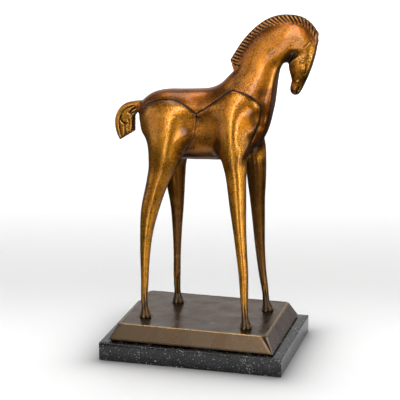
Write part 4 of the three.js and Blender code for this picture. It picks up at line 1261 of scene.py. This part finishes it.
# %% Floor and wall
VIEW_TURN = math.radians(14.98)
away = Vector((-math.sin(VIEW_TURN), math.cos(VIEW_TURN), 0))
FLOOR_RADIUS, BEND, WALL_TOP, ROUND_STEPS = 3.6, 1.4, 4.0, 72
profile = [(0.25, 0.0), (FLOOR_RADIUS - BEND, 0.0)]
for turn in np.linspace(0, math.pi / 2, 13)[1:]:
    profile.append((FLOOR_RADIUS - BEND + BEND * math.sin(turn), BEND - BEND * math.cos(turn)))
profile.append((FLOOR_RADIUS, WALL_TOP))
vertices = [(0, 0, 0)]
faces = []
for ring, (radius, z) in enumerate(profile):
    for i in range(ROUND_STEPS):
        turn = 2 * math.pi * i / ROUND_STEPS
        vertices.append((radius * math.cos(turn), radius * math.sin(turn), z))
        here, beside = 1 + ring * ROUND_STEPS + i, 1 + ring * ROUND_STEPS + (i + 1) % ROUND_STEPS
        if ring == 0:
            faces.append((0, here, beside))
        else:
            faces.append((here - ROUND_STEPS, here, beside, beside - ROUND_STEPS))
sheet = mesh_object("studio_sheet", vertices, faces)
sheet.data.shade_smooth()
sheet.visible_shadow = False
print("paper", 2 * FLOOR_RADIUS, "metres across, with", len(faces), "faces")

# %% The paper
PAPER_WHITE, PAPER_PAINTED_SHADE = 0.90, 0.68
CONTACT_SHADE, CONTACT_REACH = 0.6, 0.022
paper, tree, shader = new_material("studio paper")
place = own_place(tree)
depth = vector(tree, "DOT_PRODUCT", place, away)
# Painted shade: a darker band across the paper behind the plinth.
painted_shade_band = maths(tree, "MULTIPLY", map_range(tree, depth, -0.04, 0.24), map_range(tree, depth, 0.75, 0.24))
tone = maths(tree, "MULTIPLY_ADD", painted_shade_band, PAPER_PAINTED_SHADE - PAPER_WHITE, PAPER_WHITE)
beyond = vector(tree, "SUBTRACT", vector(tree, "ABSOLUTE", place), plinth_size * MM / 2)
from_plinth = vector(tree, "LENGTH", vector(tree, "MAXIMUM", beyond))
# Painted shadow: the paper's tone darkens softly round the plinth.
contact = maths(tree, "EXPONENT", maths(tree, "MULTIPLY", from_plinth, -1 / CONTACT_REACH))
tone = maths(tree, "MULTIPLY", tone, maths(tree, "MULTIPLY_ADD", contact, -CONTACT_SHADE, 1.0))

# %% The paper's own glow, and what the metal sees of it
radius = vector(tree, "LENGTH", place)
fill(tree, shader, {"Base Color": tone, "Roughness": 0.9, "Emission Color": (1, 1, 1, 1)})
fill(tree, shader, {"Emission Strength": map_range(tree, radius, 0.7, 1.8, 0.0, 0.5)})
mirrored = node(tree, "ShaderNodeLightPath").outputs["Is Glossy Ray"]
unseen = maths(tree, "MULTIPLY", mirrored, map_range(tree, radius, 0.16, 0.26))
clear = node(tree, "ShaderNodeBsdfTransparent").outputs[0]
blend = node(tree, "ShaderNodeMixShader", {0: unseen, 1: shader.outputs[0], 2: clear}).outputs[0]
tree.links.new(blend, tree.nodes["Material Output"].inputs["Surface"])
sheet.data.materials.append(paper)

# %% Light
chest = Vector((0, 0, 0.22))


def panel(name, turn, rise, distance, size, power, on_paper=False):
    """A soft panel that looks at the chest. Turn is from the camera's side to the right, in degrees."""
    lamp = bpy.data.lights.new(name, "AREA")
    lamp.shape = "RECTANGLE"
    lamp.size, lamp.size_y = size
    lamp.energy = power
    made = bpy.data.objects.new(name, lamp)
    direction = VIEW_TURN + math.radians(turn)
    level = math.cos(math.radians(rise))
    offset = Vector((math.sin(direction) * level, -math.cos(direction) * level, math.sin(math.radians(rise))))
    made.location = chest + distance * offset
    made.rotation_euler = offset.to_track_quat("Z", "Y").to_euler()
    made.visible_diffuse = on_paper
    made.visible_glossy = not on_paper
    bpy.context.scene.collection.objects.link(made)
    print(name, "gives", power, "watts")


panel("tall key", -15, 32, 1.4, (0.24, 1.5), 9.0)
panel("beside the key", -33, 26, 1.4, (0.6, 1.4), 3.2)
panel("key overhead", -90, 76, 1.4, (1.5, 0.30), 3.6)
panel("foot of the key", -15, -14, 1.4, (0.26, 0.8), 2.6)
panel("left wall", -78, 14, 1.5, (1.2, 1.3), 4)
panel("low fill", 33, -4, 1.4, (0.26, 0.9), 5.0)
panel("leg fill", 58, -6, 1.4, (0.16, 0.7), 1.8)
panel("right wall", 92, 14, 1.5, (1.3, 1.2), 7)
panel("overhead", -160, 78, 1.5, (1.0, 0.8), 3)
panel("paper lamp", 165, 72, 2.6, (2.4, 2.4), 34.5, on_paper=True)

# %% The room's own light
HIGH, LOW, BACKDROP = 0.17, 0.02, 0.60
world = bpy.data.worlds.new("studio")
bpy.context.scene.world = world
world.use_nodes = True
tree = world.node_tree
direction = node(tree, "ShaderNodeTexCoord").outputs["Generated"]
rise = node(tree, "ShaderNodeSeparateXYZ", {0: direction}).outputs["Z"]
behind = vector(tree, "DOT_PRODUCT", direction, away)
glow = map_range(tree, rise, -0.45, 0.05, LOW, HIGH)
backdrop = maths(tree, "MULTIPLY", map_range(tree, behind, 0.6, 0.95), map_range(tree, rise, -0.05, 0.12))
glow = maths(tree, "MULTIPLY_ADD", backdrop, BACKDROP, glow)
fill(tree, tree.nodes["Background"], {"Color": glow, "Strength": 1.0})
bpy.context.scene.view_settings.view_transform = "Standard"

# %% The camera
ELEVATION = math.radians(15.22)
CAMERA_DISTANCE = 1.76216
LOOK_RIGHT, LOOK_UP = -0.00683, 0.16031
back = -away * math.cos(ELEVATION) + Vector((0, 0, math.sin(ELEVATION)))
right = Vector((math.cos(VIEW_TURN), math.sin(VIEW_TURN), 0))
camera_data = bpy.data.cameras.new("camera")
camera_data.sensor_width = 36.0
camera_data.lens = 144.0
camera = bpy.data.objects.new("camera", camera_data)
camera.location = right * LOOK_RIGHT + back.cross(right) * LOOK_UP + back * CAMERA_DISTANCE
camera.rotation_euler = (-back).to_track_quat("-Z", "Y").to_euler()
bpy.context.scene.collection.objects.link(camera)
bpy.context.scene.camera = camera
print("camera at", [round(v, 3) for v in camera.location])
